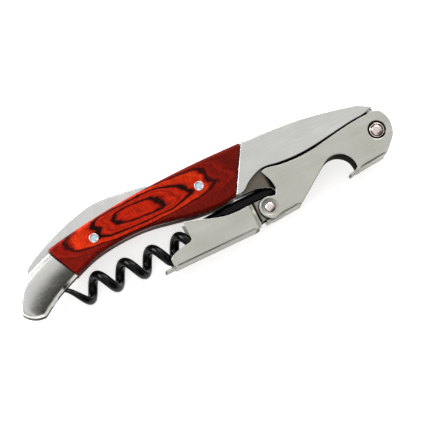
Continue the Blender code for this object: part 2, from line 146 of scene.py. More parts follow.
def chain(*runs, near=0.12):
    """Runs joined into one closed outline of (x, y, rounding). A run is (points, rounding)."""
    out = []
    for points, rounding in runs:
        for x, y in points:
            if not out or hypot(x - out[-1][0], y - out[-1][1]) > near:
                out.append((x, y, rounding))
    if hypot(out[0][0] - out[-1][0], out[0][1] - out[-1][1]) < near:
        out.pop()
    return out


def inset(outline, distances):
    """A counter-clockwise outline moved inwards, each point by its own distance."""
    out = []
    count = len(outline)
    for i, distance in enumerate(distances):
        here = Vector(outline[i][:2])
        before = here - Vector(outline[i - 1][:2])
        after = Vector(outline[(i + 1) % count][:2]) - here
        normal_a = Vector((-before.y, before.x)).normalized()
        normal_b = Vector((-after.y, after.x)).normalized()
        bisector = (normal_a + normal_b).normalized()
        reach = distance / max(SHARPEST_MITRE, bisector.dot(normal_a))
        out.append((here.x + bisector.x * reach, here.y + bisector.y * reach))
    return out


def shrunk(outline, distance):
    moved = inset(outline, [distance] * len(outline))
    return [(x, y, point[2]) for (x, y), point in zip(moved, outline)]


def backwards(points):
    return list(reversed(points))


def risen(x, start, end):
    """0 up to start, 1 past end and in proportion between them."""
    return min(1.0, max(0.0, (x - start) / (end - start)))


def mixed(a, b, share):
    return tuple(p + (q - p) * share for p, q in zip(a, b))


def along(run, share):
    """The point at a share of a run's length."""
    lengths = [hypot(b[0] - a[0], b[1] - a[1]) for a, b in zip(run, run[1:])]
    left = share * sum(lengths)
    for (a, b), length in zip(zip(run, run[1:]), lengths):
        if left <= length:
            return mixed(a, b, left / length)
        left -= length
    return run[-1]


HEAD_TIP = (1.7, 6.4)
TAIL_END = (TAIL_X, -4.1)
HEAD_BACK = smooth([HEAD_TIP, (-0.3, 8.0), (-3.0, 9.3), (-11.7, 11.2), (-22.0, 12.7), (-35.9, 13.3)])
WOOD_BACK = smooth([(-36.1, 13.3), (-50.0, 13.5), (-64.0, 13.1), (-78.0, 12.0), (-91.1, 10.2), (-96.8, 9.1)])
TAIL_BACK = smooth([(-97.0, 8.3), (-101.4, 6.8), (-106.6, 4.4), (-108.9, 2.2), (-109.9, -1.0), TAIL_END])
TAIL_BELLY = smooth([TAIL_END, (-109.3, -5.6), (-107.2, -6.8), (-104.9, -7.1)])
TAIL_BELLY_STRAIGHT = smooth([(-104.9, -7.1), (-99.9, -4.0), (-95.2, -1.9), (-92.5, -0.8)])
WOOD_BELLY = smooth([(-92.3, -0.7), (-85.2, 1.7), (-77.0, 2.8), (-69.0, 2.7), (-61.5, 1.4), (-55.0, 0.1),
    (-48.6, -0.4), (-43.7, 0.1)])
FRONT_JOINT = [(-36.0, 13.3), (-43.55, 0.2)]
REAR_JOINT = smooth([(-92.4, -0.8), (-93.8, 1.6), (-96.1, 6.3), (-97.0, 9.1)])
TANG_RUNS = (
    smooth([(-43.5, 0.0), (-38.2, -0.4), (-35.5, -1.1), (-33.4, -2.2)]),
    arc(WORM_EYE, 4.0, 195, 378),
    smooth([(-24.0, -0.2), (-18.0, -0.4), (-9.0, -0.4), (-4.6, -0.2)]),
    arc(ORIGIN, 3.8, 190, 410),
    [(2.1, 4.8), HEAD_TIP])
RAISED_LOWER = smooth([(-43.5, 0.1), (-41.0, 0.3), (-38.4, 2.2), (-35.0, 3.7), (-32.4, 4.0), (-28.5, 3.4),
    (-24.0, 3.15), (-19.0, 3.35), (-12.0, 4.3), (-5.6, 5.2), (-1.5, 5.5), HEAD_TIP])


# ---------------------------------------------------------------- solids, in millimetres

def circle(centre, radius, z):
    return [(x, y, z) for x, y in arc(centre, radius, 0, 360, ROUND_SIDES)[:-1]]


def band(a, b, count):
    """Faces between two rings of points, whose first points are a and b."""
    return [(a + i, a + (i + 1) % count, b + (i + 1) % count, b + i) for i in range(count)]


def bore(centre, radius, high, low, clearance=0.1):
    """A plain hole for plate, wider than its pin by the clearance."""
    return centre, [(radius + clearance, high), (radius + clearance, low)]


def plate(outline, low, high, holes=(), low_round=0.06, steps=4, guard=0.1):
    """A solid of one outline with its edges rounded over by each point's own rounding.

    holes are (centre, profile) pairs, the profile running (radius, z) from the upper face
    to the lower one. A narrow ring of width guard keeps the flat faces' shading flat.
    """
    roundings = [point[2] for point in outline]
    rings = [(low, [low_round + guard] * len(outline)), (low, [low_round] * len(outline)),
             (low + low_round, [0.0] * len(outline))]
    heights = [[z] * len(outline) for z, unused in rings]
    insets = [distances for unused, distances in rings]
    for k in range(steps + 1):
        angle = pi / 2 * k / steps
        heights.append([high - r * (1 - sin(angle)) for r in roundings])
        insets.append([r * (1 - cos(angle)) for r in roundings])
    heights.append([high] * len(outline))
    insets.append([r + guard for r in roundings])
    points, faces = [], []
    count = len(outline)
    floor = low + low_round + 0.01
    for ring, (zs, distances) in enumerate(zip(heights, insets)):
        moved = inset(outline, distances)
        points += [(x, y, z if ring < 3 else max(floor, z)) for (x, y), z in zip(moved, zs)]
    for ring in range(len(heights) - 1):
        faces += band(ring * count, (ring + 1) * count, count)
    lower_ids = list(range(count))
    upper_ids = list(range(count * (len(heights) - 1), count * len(heights)))
    loops = []
    for centre, profile in holes:
        first = len(points)
        rows = [(profile[0][0] + guard, high), *profile, (profile[-1][0] + guard, low)]
        for radius, z in rows:
            points += circle(centre, radius, z)
        last = first + ROUND_SIDES * (len(rows) - 1)
        for a in range(first, last, ROUND_SIDES):
            faces += band(a, a + ROUND_SIDES, ROUND_SIDES)
        upper_ids += range(first, first + ROUND_SIDES)
        lower_ids += range(last, last + ROUND_SIDES)
        loops.append(ROUND_SIDES)
    for ids, up in ((lower_ids, False), (upper_ids, True)):
        flat = [Vector((points[i][0], points[i][1], 0)) for i in ids]
        polygons, start = [], 0
        for size in [count, *loops]:
            polygons.append(flat[start:start + size])
            start += size
        triangles = tessellate_polygon(polygons)
        area = sum((flat[b] - flat[a]).cross(flat[c] - flat[a]).z for a, b, c in triangles)
        for a, b, c in triangles:
            faces.append((ids[a], ids[b], ids[c]) if (area > 0) == up else (ids[c], ids[b], ids[a]))
    return points, faces


def ribbed(rows, base_z):
    """A solid under a grid of points, each row running from the belly to the back."""
    width = len(rows[0])
    ribs = len(rows)
    points = [p for row in rows for p in row]
    top = len(points)
    faces = [(i * width + k, i * width + k + 1, (i + 1) * width + k + 1, (i + 1) * width + k)
             for i in range(ribs - 1) for k in range(width - 1)]
    points += [(x, y, base_z) for x, y, z in points]
    faces += [tuple(top + n for n in reversed(face)) for face in faces]
    border = (list(range(width - 1)) + [i * width + width - 1 for i in range(ribs - 1)]
              + [(ribs - 1) * width + k for k in range(width - 1, 0, -1)]
              + [i * width for i in range(ribs - 1, 0, -1)])
    for a, b in zip(border, border[1:] + border[:1]):
        faces.append((b, a, top + a, top + b))
    return points, faces


def turned(centre, profile):
    """A round solid: (radius, z) from its lower end on the axis to its upper end on the axis."""
    points = [(centre[0], centre[1], profile[0][1])]
    faces = []
    inner = profile[1:-1]
    for radius, z in inner:
        points += circle(centre, radius, z)
    points.append((centre[0], centre[1], profile[-1][1]))
    last = len(points) - 1
    for i in range(ROUND_SIDES):
        j = (i + 1) % ROUND_SIDES
        faces.append((0, 1 + j, 1 + i))
        faces.append((last, last - ROUND_SIDES + i, last - ROUND_SIDES + j))
    for row in range(len(inner) - 1):
        faces += band(1 + row * ROUND_SIDES, 1 + (row + 1) * ROUND_SIDES, ROUND_SIDES)
    return points, faces


def ring_solid(centre, profile):
    """A round solid with a hole: a closed (radius, z) profile, counter-clockwise."""
    points, faces = [], []
    for radius, z in profile:
        points += circle(centre, radius, z)
    for row in range(len(profile)):
        faces += band(row * ROUND_SIDES, (row + 1) % len(profile) * ROUND_SIDES, ROUND_SIDES)
    return points, faces


def turned_over(solid):
    points, faces = solid
    return [(x, y, -z) for x, y, z in points], [face[::-1] for face in faces]


def strip(start, end, half_width, edge=0.08):
    """A length of folded sheet across the mid-plane, its outer face from start to end."""
    length = hypot(end[0] - start[0], end[1] - start[1])
    step = ((end[0] - start[0]) / length, (end[1] - start[1]) / length)
    normal = (-step[1] * SHEET, step[0] * SHEET)
    corners = [start, end, *[(x + normal[0], y + normal[1]) for x, y in (end, start)]]
    outline = []
    for i, corner in enumerate(corners):
        for other in (corners[i - 1], corners[(i + 1) % 4]):
            reach = hypot(other[0] - corner[0], other[1] - corner[1])
            outline.append((*mixed(corner, other, max(0.1, edge) / reach), edge))
    return plate(outline, -half_width, half_width, low_round=edge, steps=2, guard=0.04)


# ---------------------------------------------------------------- meshes and pieces

def place(x, y, z):
    """From millimetres on the lever's pivot to the frame's metres."""
    return LEVER + Vector((x, y, z)) * MM


def mesh_of(name, solid, sharp=FLAT_TO_SHARP):
    points, faces = solid
    mesh = bpy.data.meshes.new(name)
    mesh.from_pydata([place(*p) for p in points], [], faces)
    mesh.validate()
    mesh.shade_smooth()
    mesh.set_sharp_from_angle(angle=radians(sharp))
    return mesh


def new_object(name, mesh):
    made = bpy.data.objects.new(name, mesh)
    bpy.context.scene.collection.objects.link(made)
    return made


def plain_mesh(source, name):
    """The evaluated object as a plain mesh."""
    bpy.context.view_layer.update()
    graph = bpy.context.evaluated_depsgraph_get()
    mesh = bpy.data.meshes.new_from_object(source.evaluated_get(graph))
    mesh.name = name
    return mesh


def united_mesh(name, solids, sharp=FLAT_TO_SHARP):
    """Overlapping solids as one skin."""
    body = new_object(f"{name}_joining", mesh_of(name, solids[0], sharp))
    tools = []
    for i, solid in enumerate(solids[1:]):
        tool = new_object(f"{name}_tool_{i}", mesh_of(f"{name}_tool_{i}", solid, sharp))
        union = body.modifiers.new(f"join_{i}", "BOOLEAN")
        union.operation = "UNION"
        union.solver = "MANIFOLD"
        union.object = tool
        tools.append(tool)
    mesh = plain_mesh(body, name)
    for made in [body, *tools]:
        bpy.data.objects.remove(made)
    mesh.shade_smooth()
    mesh.set_sharp_from_angle(angle=radians(sharp))
    return mesh


def piece(nodes, mesh, body, finish):
    """A finished piece, named after the first CAD node that it stands for: it rides on a body and
    has one finish."""
    made = new_object(f"{nodes[0]}_finished", mesh)
    mesh.materials.clear()
    mesh.materials.append(finish)
    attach(made, body)
    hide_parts(*nodes)
    return made


def second_finish(made, finish, wanted):
    """Another finish on the faces that wanted(middle in millimetres, normal) picks."""
    made.data.materials.append(finish)
    for face in made.data.polygons:
        if wanted((face.center - LEVER) / MM, face.normal):
            face.material_index = len(made.data.materials) - 1


def each_side(name, solid, finish):
    """The handle's left-hand piece, which faces up, and its mirror image."""
    for side, shape in (("left", solid), ("right", turned_over(solid))):
        node = f"{name}_{side}"
        piece([node], mesh_of(node, shape), "handle", finish)


# ---------------------------------------------------------------- materials

def linear(code):
    """An sRGB hex colour as linear red, green, blue and alpha."""
    channels = [int(code[i:i + 2], 16) / 255 for i in (1, 3, 5)]
    return (*[c / 12.92 if c <= 0.04045 else ((c + 0.055) / 1.055) ** 2.4 for c in channels], 1.0)


def add(tree, kind, values=None, **settings):
    """A node with its settings; values are its inputs, each a number or a colour, or a socket or
    a node's first output to link."""
    made = tree.nodes.new(kind)
    for key, value in settings.items():
        setattr(made, key, value)
    for key, value in (values or {}).items():
        if isinstance(value, bpy.types.Node):
            value = value.outputs[0]
        if isinstance(value, bpy.types.NodeSocket):
            tree.links.new(value, made.inputs[key])
        else:
            made.inputs[key].default_value = value
    return made


# How deep a fine surface texture is drawn.
FINE_RELIEF = 0.02 * MM


def per_mm(x, y, z):
    """Scale for a pattern whose features are these many millimetres apart."""
    return (1 / (x * MM), 1 / (y * MM), 1 / (z * MM))


def new_material(**uniform):
    """A Principled material with the values that are the same all over set on its sockets."""
    made = bpy.data.materials.new("finish")
    made.use_nodes = True
    tree = made.node_tree
    shader = tree.nodes["Principled BSDF"]
    for key, value in uniform.items():
        shader.inputs[key.replace("_", " ")].default_value = value
    coordinates = add(tree, "ShaderNodeTexCoord").outputs["Object"]
    return made, tree, shader, coordinates


def brushed_metal(light, dark, roughness, grain, relief):
    """Metal rubbed in one direction: long fine scratches that vary the gloss and the tone."""
    made, tree, shader, coordinates = new_material(Metallic=1.0)
    lined = add(tree, "ShaderNodeMapping", {"Vector": coordinates, "Scale": per_mm(*grain)})
    scratch = add(tree, "ShaderNodeTexNoise", {"Vector": lined, "Scale": 1.0, "Detail": 3.0,
        "Roughness": 0.6})
    cloud_space = add(tree, "ShaderNodeMapping", {"Vector": coordinates, "Scale": per_mm(9, 5, 5)})
    cloud = add(tree, "ShaderNodeTexNoise", {"Vector": cloud_space, "Scale": 1.0, "Detail": 2.0})
    blend = add(tree, "ShaderNodeMath", {0: scratch, 1: cloud}, operation="ADD")
    half = add(tree, "ShaderNodeMapRange", {"Value": blend, "From Min": 0.7, "From Max": 1.3})
    tone = add(tree, "ShaderNodeMix", {"Factor": half, 6: linear(dark), 7: linear(light)},
               data_type="RGBA")
    gloss = add(tree, "ShaderNodeMapRange", {"Value": blend, "From Min": 0.7, "From Max": 1.3,
        "To Min": roughness[0], "To Max": roughness[1]})
    bump = add(tree, "ShaderNodeBump", {"Height": scratch, "Strength": relief, "Distance": FINE_RELIEF})
    tree.links.new(tone.outputs[2], shader.inputs["Base Color"])
    tree.links.new(gloss.outputs[0], shader.inputs["Roughness"])
    tree.links.new(bump.outputs[0], shader.inputs["Normal"])
    return made


def brushed_stainless_sheet(look):
    """Cold-rolled stainless sheet, pressed and belt-brushed along the lever: a flat grey sheen.
    The real scratches are about 0.05 mm apart and are drawn 0.22 mm apart so that they show."""
    return brushed_metal(look.sheet_light, look.sheet_dark, (0.26, 0.40), (9.0, 0.22, 0.22), 0.22)


def satin_cast_stainless(look):
    """Cast stainless, tumbled and lightly brushed: soft wide reflections with a faint grain."""
    return brushed_metal(look.bolster_light, look.bolster_dark, (0.20, 0.32), (6.0, 0.30, 0.30), 0.12)


def as_cast_stainless(look):
    """Stainless left as it came from the mould: dull, its dark tone partly painted shade for the recess,
    and painted black shadow where only a narrow gap is left beside the lever."""
    made, tree, shader, coordinates = new_material(Metallic=1.0)
    grain = add(tree, "ShaderNodeTexNoise", {"Vector": coordinates, "Scale": 1 / (0.5 * MM), "Detail": 3.0})
    tone = add(tree, "ShaderNodeMix", {"Factor": grain, 6: linear(look.recess_dark),
        7: linear(look.recess_light)}, data_type="RGBA")
    across = add(tree, "ShaderNodeSeparateXYZ", {"Vector": coordinates})
    # Painted shadow: the tone turns near black in the narrow gap beside the lever.
    gap_starts = LEVER.x - 34.6 * MM
    gap_shadow = add(tree, "ShaderNodeMapRange", {"Value": across.outputs["X"], "From Min": gap_starts,
        "From Max": gap_starts + 1.2 * MM}, interpolation_type="SMOOTHSTEP")
    gap_shadowed_tone = add(tree, "ShaderNodeMix", {"Factor": gap_shadow, 6: tone.outputs[2], 7: linear("#0E0D0C")},
        data_type="RGBA")
    # Near the head's tip, above the lever, the tone goes back to the bolsters' darker grey.
    tip = add(tree, "ShaderNodeMapRange", {"Value": across.outputs["X"], "From Min": LEVER.x - 0.6 * MM,
        "From Max": LEVER.x + 0.3 * MM}, interpolation_type="SMOOTHSTEP")
    above = add(tree, "ShaderNodeMapRange", {"Value": across.outputs["Y"], "From Min": LEVER.y + 3.0 * MM,
        "From Max": LEVER.y + 4.0 * MM})
    lighter_tip = add(tree, "ShaderNodeMath", {0: tip, 1: above}, operation="MULTIPLY")
    shaded_tone = add(tree, "ShaderNodeMix", {"Factor": lighter_tip, 6: gap_shadowed_tone.outputs[2],
        7: linear(look.bolster_dark)}, data_type="RGBA")
    gloss = add(tree, "ShaderNodeMapRange", {"Value": grain, "To Min": 0.42, "To Max": 0.62})
    bump = add(tree, "ShaderNodeBump", {"Height": grain, "Strength": 0.4, "Distance": FINE_RELIEF})
    tree.links.new(shaded_tone.outputs[2], shader.inputs["Base Color"])
    tree.links.new(gloss.outputs[0], shader.inputs["Roughness"])
    tree.links.new(bump.outputs[0], shader.inputs["Normal"])
    return made


def folded_sheet_edge(look):
    """The folded web and cut edges of the sheet, barrel-finished and not brushed: a duller grey, partly
    painted shade where it lines the hinge dish.
    """
    return brushed_metal(look.edge_light, look.edge_dark, (0.34, 0.50), (3.0, 0.4, 0.4), 0.2)


def hinge_ear_sheet(look):
    """The lower lever's ears, in a duller grey that is painted shade for the recessed ear, with painted
    dark shadow in the corner of the step and just outside the flange's round end."""
    made = brushed_metal(look.edge_light, look.edge_dark, (0.34, 0.50), (3.0, 0.4, 0.4), 0.2)
    tree = made.node_tree
    shader = tree.nodes["Principled BSDF"]
    metal = shader.inputs["Base Color"].links[0].from_socket
    coordinates = add(tree, "ShaderNodeTexCoord").outputs["Object"]
    from_pin = add(tree, "ShaderNodeVectorMath", {0: coordinates, 1: tuple(place(*HINGE, 0))},
        operation="SUBTRACT")
    flat = add(tree, "ShaderNodeVectorMath", {0: from_pin, 1: (1, 1, 0)}, operation="MULTIPLY")
    reach = add(tree, "ShaderNodeVectorMath", {0: flat}, operation="LENGTH")
    # Painted shadow in a ring just outside the upper lever's round flange end.
    rim = add(tree, "ShaderNodeMapRange", {"Value": reach.outputs["Value"], "From Min": 3.1 * MM,
        "From Max": 3.6 * MM, "To Min": 1.0, "To Max": 0.0})
    across = add(tree, "ShaderNodeSeparateXYZ", {"Vector": coordinates})
    step = place(JOGGLE_END, 0, 0).x
    # Painted shadow in the corner of the step. Everything left of the step is wholly dark, and so is the web's
    # far tip, which takes this finish.
    corner = add(tree, "ShaderNodeMapRange", {"Value": across.outputs["X"], "From Min": step + 0.3 * MM,
        "From Max": step + 0.7 * MM, "To Min": 1.0, "To Max": 0.0})
    ear_shadow = add(tree, "ShaderNodeMath", {0: rim, 1: corner}, operation="MAXIMUM")
    tone = add(tree, "ShaderNodeMix", {"Factor": ear_shadow, 6: metal, 7: linear("#1E1A15")},
               data_type="RGBA")
    tree.links.new(tone.outputs[2], shader.inputs["Base Color"])
    return made


def unbrushed_sheet(look):
    """The sheet's inner faces and ears, dark and dull: painted shade for the inside of the channel."""
    return brushed_metal(look.recess_light, look.recess_dark, (0.38, 0.52), (1.5, 0.3, 0.3), 0.3)


def ground_blade_stainless(look):
    """Blade stainless ground across its width: fine upright lines and a paler face."""
    return brushed_metal(look.blade_light, look.blade_dark, (0.22, 0.34), (0.7, 7.0, 7.0), 0.10)


def plain_inner_stainless(look):
    """Blanked inner strip, left as rolled: duller than the outside, and darker as painted shade for the parts
    deep in the handle.
    """
    return brushed_metal(look.inner_light, look.inner_dark, (0.34, 0.48), (3.0, 0.25, 0.25), 0.3)


def polished_rivet_steel(look):
    """Peened rivet heads, polished: bright, with faint rings left by the riveting tool."""
    return brushed_metal(look.rivet_light, look.rivet_dark, (0.14, 0.26), (0.7, 0.5, 0.5), 0.3)


def pin_centre_enamel(look):
    """The filled bores of the tubular pins: pale, faintly blue and slightly uneven, the pale blue a painted
    reflection.
    """
    made, tree, shader, coordinates = new_material(Metallic=0.0, IOR=1.5, Roughness=0.3)
    speckle = add(tree, "ShaderNodeTexNoise", {"Vector": coordinates, "Scale": 1 / (0.6 * MM), "Detail": 2.0})
    # Painted reflection: the pale blue tones of the pin centres.
    tone = add(tree, "ShaderNodeMix", {"Factor": speckle, 6: linear(look.bore), 7: linear("#9FB9C4")},
               data_type="RGBA")
    bump = add(tree, "ShaderNodeBump", {"Height": speckle, "Strength": 0.2, "Distance": FINE_RELIEF})
    tree.links.new(tone.outputs[2], shader.inputs["Base Color"])
    tree.links.new(bump.outputs[0], shader.inputs["Normal"])
    return made


def black_nonstick_coating(look):
    """Baked black fluoropolymer over steel wire: glossy black with a slight orange-peel."""
    made, tree, shader, coordinates = new_material(Metallic=0.0, IOR=1.35, Specular_IOR_Level=0.3)
    peel = add(tree, "ShaderNodeTexNoise", {"Vector": coordinates, "Scale": 1 / (0.45 * MM), "Detail": 2.0})
    tone = add(tree, "ShaderNodeMix", {"Factor": peel, 6: linear(look.coat_dark),
        7: linear(look.coat_light)}, data_type="RGBA")
    gloss = add(tree, "ShaderNodeMapRange", {"Value": peel, "To Min": 0.16, "To Max": 0.30})
    bump = add(tree, "ShaderNodeBump", {"Height": peel, "Strength": 0.25, "Distance": FINE_RELIEF})
    tree.links.new(tone.outputs[2], shader.inputs["Base Color"])
    tree.links.new(gloss.outputs[0], shader.inputs["Roughness"])
    tree.links.new(bump.outputs[0], shader.inputs["Normal"])
    return made


FIGURE_CENTRE = (-69.5, 8.2)
FIGURE_HALF_SIZE = (14.0, 3.5)
FIGURE_CROWDING = 1.5
FIGURE_SQUARENESS = 2.6
FIGURE_STOPS = (
    (0.00, "#640B04"), (0.07, "#9C1B06"), (0.12, "#B42007"), (0.175, "#961705"), (0.205, "#2A0504"),
    (0.245, "#1C0303"), (0.27, "#981806"), (0.31, "#B42308"), (0.345, "#821305"), (0.38, "#B02208"),
    (0.42, "#981A07"), (0.445, "#1E0303"), (0.49, "#180303"), (0.515, "#961806"), (0.56, "#B02508"),
    (0.61, "#B42608"), (0.65, "#BC2D09"), (0.69, "#7A1006"), (0.715, "#240404"), (0.745, "#3A0705"),
    (0.78, "#7C1306"), (0.83, "#640E06"), (0.88, "#7E1507"), (0.92, "#580C06"), (1.00, "#640F06"))


def red_resin_laminate(look):
    """Birch veneers dyed red and pressed with resin, cut so that their layers show as ovals,
    sanded and waxed: dark contour bands on orange-red with a low sheen."""
    made, tree, shader, coordinates = new_material(Metallic=0.0, IOR=1.45, Specular_IOR_Level=0.07)
    warp_space = add(tree, "ShaderNodeMapping", {"Vector": coordinates, "Scale": per_mm(11, 5, 9)})
    warp = add(tree, "ShaderNodeTexNoise", {"Vector": warp_space, "Scale": 1.0, "Detail": 3.0,
        "Roughness": 0.55})
    centre = place(*FIGURE_CENTRE, 0)
    moved = add(tree, "ShaderNodeVectorMath", {0: coordinates, 1: tuple(centre)}, operation="SUBTRACT")
    flat = add(tree, "ShaderNodeVectorMath", {0: moved, 1: (
        1 / (FIGURE_HALF_SIZE[0] * MM), 1 / (FIGURE_HALF_SIZE[1] * MM), 0)}, operation="MULTIPLY")
    whole = add(tree, "ShaderNodeVectorMath", {0: flat}, operation="ABSOLUTE")
    parts = add(tree, "ShaderNodeSeparateXYZ", {"Vector": whole})
    wide = add(tree, "ShaderNodeMath", {0: parts.outputs["X"], 1: FIGURE_SQUARENESS}, operation="POWER")
    high = add(tree, "ShaderNodeMath", {0: parts.outputs["Y"], 1: FIGURE_SQUARENESS * FIGURE_CROWDING},
               operation="POWER")
    both = add(tree, "ShaderNodeMath", {0: wide, 1: high}, operation="ADD")
    oval = add(tree, "ShaderNodeMath", {0: both, 1: 1 / FIGURE_SQUARENESS}, operation="POWER")
    sway = add(tree, "ShaderNodeMapRange", {"Value": warp, "From Min": 0.25, "From Max": 0.75,
        "To Min": -0.21, "To Max": 0.21})
    depth = add(tree, "ShaderNodeMath", {0: oval, 1: sway}, operation="ADD")
    share = add(tree, "ShaderNodeMapRange", {"Value": depth, "From Min": 0.0, "From Max": 2.15})
    figure = add(tree, "ShaderNodeValToRGB", {"Fac": share})
    ramp = figure.color_ramp.elements
    ramp.remove(ramp[-1])
    for position, code in FIGURE_STOPS:
        stop = ramp.new(position) if position else ramp[0]
        stop.color = linear(code)
    fibre_space = add(tree, "ShaderNodeMapping", {"Vector": coordinates, "Scale": per_mm(2.6, 0.22, 0.5),
        "Rotation": (0, 0, radians(8))})
    fibre = add(tree, "ShaderNodeTexNoise", {"Vector": fibre_space, "Scale": 1.0, "Detail": 4.0,
        "Roughness": 0.65})
    cross_space = add(tree, "ShaderNodeMapping", {"Vector": coordinates, "Scale": per_mm(0.3, 2.2, 1.0),
        "Rotation": (0, 0, radians(-25))})
    cross = add(tree, "ShaderNodeTexNoise", {"Vector": cross_space, "Scale": 1.0, "Detail": 2.0})
    grain = add(tree, "ShaderNodeMath", {0: fibre, 1: cross}, operation="ADD")
    dim = add(tree, "ShaderNodeMapRange", {"Value": grain, "From Min": 0.7, "From Max": 1.3, "To Min": 0.50,
        "To Max": 1.45})
    lengthways = add(tree, "ShaderNodeSeparateXYZ", {"Vector": coordinates})
    warmer = add(tree, "ShaderNodeMapRange", {"Value": lengthways.outputs["X"],
        "From Min": place(-90, 0, 0).x, "From Max": place(-78, 0, 0).x, "To Min": 1.36, "To Max": 1.0})
    strength = add(tree, "ShaderNodeMath", {0: dim, 1: warmer}, operation="MULTIPLY")
    dyed = add(tree, "ShaderNodeVectorMath", {0: figure, "Scale": strength},
               operation="SCALE")
    gloss = add(tree, "ShaderNodeMapRange", {"Value": fibre, "To Min": 0.30, "To Max": 0.50})
    bump = add(tree, "ShaderNodeBump", {"Height": fibre, "Strength": 0.12, "Distance": 0.03 * MM})
    tree.links.new(dyed.outputs[0], shader.inputs["Base Color"])
    tree.links.new(gloss.outputs[0], shader.inputs["Roughness"])
    tree.links.new(bump.outputs[0], shader.inputs["Normal"])
    return made


def pale_floor_paint(look):
    """Matt white opal board with a barely visible tooth, lit a little from underneath."""
    made, tree, shader, coordinates = new_material(Metallic=0.0, Roughness=0.9, Emission_Color=(1, 1, 1, 1),
        Emission_Strength=0.62)
    tooth = add(tree, "ShaderNodeTexNoise", {"Vector": coordinates, "Scale": 1 / (2 * MM), "Detail": 2.0})
    tone = add(tree, "ShaderNodeMix", {"Factor": tooth, 6: linear(look.floor), 7: linear("#FFFFFF")},
               data_type="RGBA")
    tree.links.new(tone.outputs[2], shader.inputs["Base Color"])
    return made


FINISHES = {}


def finish_of(maker):
    """The finish that a function makes, which takes its name, made the first time it is asked for."""
    if maker not in FINISHES:
        FINISHES[maker] = maker(bpy.context.scene.corkscrew_look)
        FINISHES[maker].name = maker.__name__
    return FINISHES[maker]


# ---------------------------------------------------------------- settings

def colour(name, code, description):
    """A colour setting, held as an sRGB hex value."""
    return bpy.props.StringProperty(name=name, default=code, description=description)


class CorkscrewLook(bpy.types.PropertyGroup):
    sheet_light: colour("Sheet, light", "#CCCCC4", "Brushed sheet where it catches the light")
    sheet_dark: colour("Sheet, dark", "#BFBFB5", "Brushed sheet in its scratches")
    bolster_light: colour("Bolster, light", "#DCDCD8", "Cast bolsters where they catch the light")
    bolster_dark: colour("Bolster, dark", "#D0D0CC", "Cast bolsters in their grain")
    # The edge colours also serve as painted shade on the lower lever's ears and in the hinge dish.
    edge_light: colour("Sheet edges, light", "#A6A69E", "Folded and cut edges of the sheet")
    edge_dark: colour("Sheet edges, dark", "#8E8E86", "Folded and cut edges in their grain")
    blade_light: colour("Blade, light", "#E2E2E0", "Ground blade, light lines")
    blade_dark: colour("Blade, dark", "#D6D6D3", "Ground blade, dark lines")
    # The inner colours are partly painted shade for the parts that sit inside the handle.
    inner_light: colour("Inner parts, light", "#76726B", "Rolled inner strip")
    inner_dark: colour("Inner parts, dark", "#4C4944", "Rolled inner strip in its grain")
    # Painted shade: these darker colours stand for the shade in the recessed tang and inside the levers'
    # channels.
    recess_light: colour("Recesses, light", "#7E776C", "Unfinished steel in the recesses")
    recess_dark: colour("Recesses, dark", "#544E45", "Unfinished steel in its darker patches")
    # Painted reflection: the pale blue colour of the pin centres.
    bore: colour("Pin centre", "#B4CBD4", "Centres of the scale pins")
    rivet_light: colour("Rivets, light", "#F2E4E1", "Polished rivet heads")
    rivet_dark: colour("Rivets, dark", "#D8C6C2", "Rivet heads in their tool marks")
    coat_light: colour("Coating, light", "#0B0B0C", "Black coating")
    coat_dark: colour("Coating, dark", "#030303", "Black coating in its dimples")
    floor: colour("Floor", "#F4F4F2", "Studio board")


class CorkscrewSizes(bpy.types.PropertyGroup):
    bend: bpy.props.FloatProperty(name="Bend", default=0.65 * MM, unit="LENGTH",
        description="Outer radius of the lever's folded corners")
    cut_edge: bpy.props.FloatProperty(name="Cut edge", default=0.10 * MM, unit="LENGTH",
        description="Rounding of a pressed sheet edge")
    bolster_edge: bpy.props.FloatProperty(name="Bolster edge", default=0.5 * MM, unit="LENGTH",
        description="Rounding of the bolsters' long edges")
    worm_pitch: bpy.props.FloatProperty(name="Worm pitch", default=8.36 * MM, unit="LENGTH",
        description="How far the worm advances in a turn")
    worm_turn: bpy.props.FloatProperty(name="Worm turn", default=2.8 * MM, unit="LENGTH",
        description="Radius of the worm's wire from its axis")
    wire: bpy.props.FloatProperty(name="Wire", default=1.36 * MM, unit="LENGTH",
        description="Radius of the worm's wire")
    wire_sides: bpy.props.IntProperty(name="Wire sides", default=20, min=8, max=48,
        description="Faces round the worm's wire")


# ---------------------------------------------------------------- Geometry Nodes

def empty_tree(name, own_input):
    """A modifier tree with a geometry input and output, one input of its own and the finish."""
    tree = bpy.data.node_groups.new(name, "GeometryNodeTree")
    tree.is_modifier = True
    tree.interface.new_socket("Geometry", in_out="INPUT", socket_type="NodeSocketGeometry")
    tree.interface.new_socket("Geometry", in_out="OUTPUT", socket_type="NodeSocketGeometry")
    for label, kind in (own_input, ("Finish", "NodeSocketMaterial")):
        tree.interface.new_socket(label, in_out="INPUT", socket_type=kind)
    return tree, tree.nodes.new("NodeGroupInput"), tree.nodes.new("NodeGroupOutput")


def closed_tree(tree, given, result, grown_skin):
    """The tree with its instances made real and the finish set."""
    real = add(tree, "GeometryNodeRealizeInstances", {0: grown_skin})
    finished = add(tree, "GeometryNodeSetMaterial", {"Geometry": real, "Material": given.outputs["Finish"]})
    tree.links.new(finished.outputs[0], result.inputs[0])
    return tree


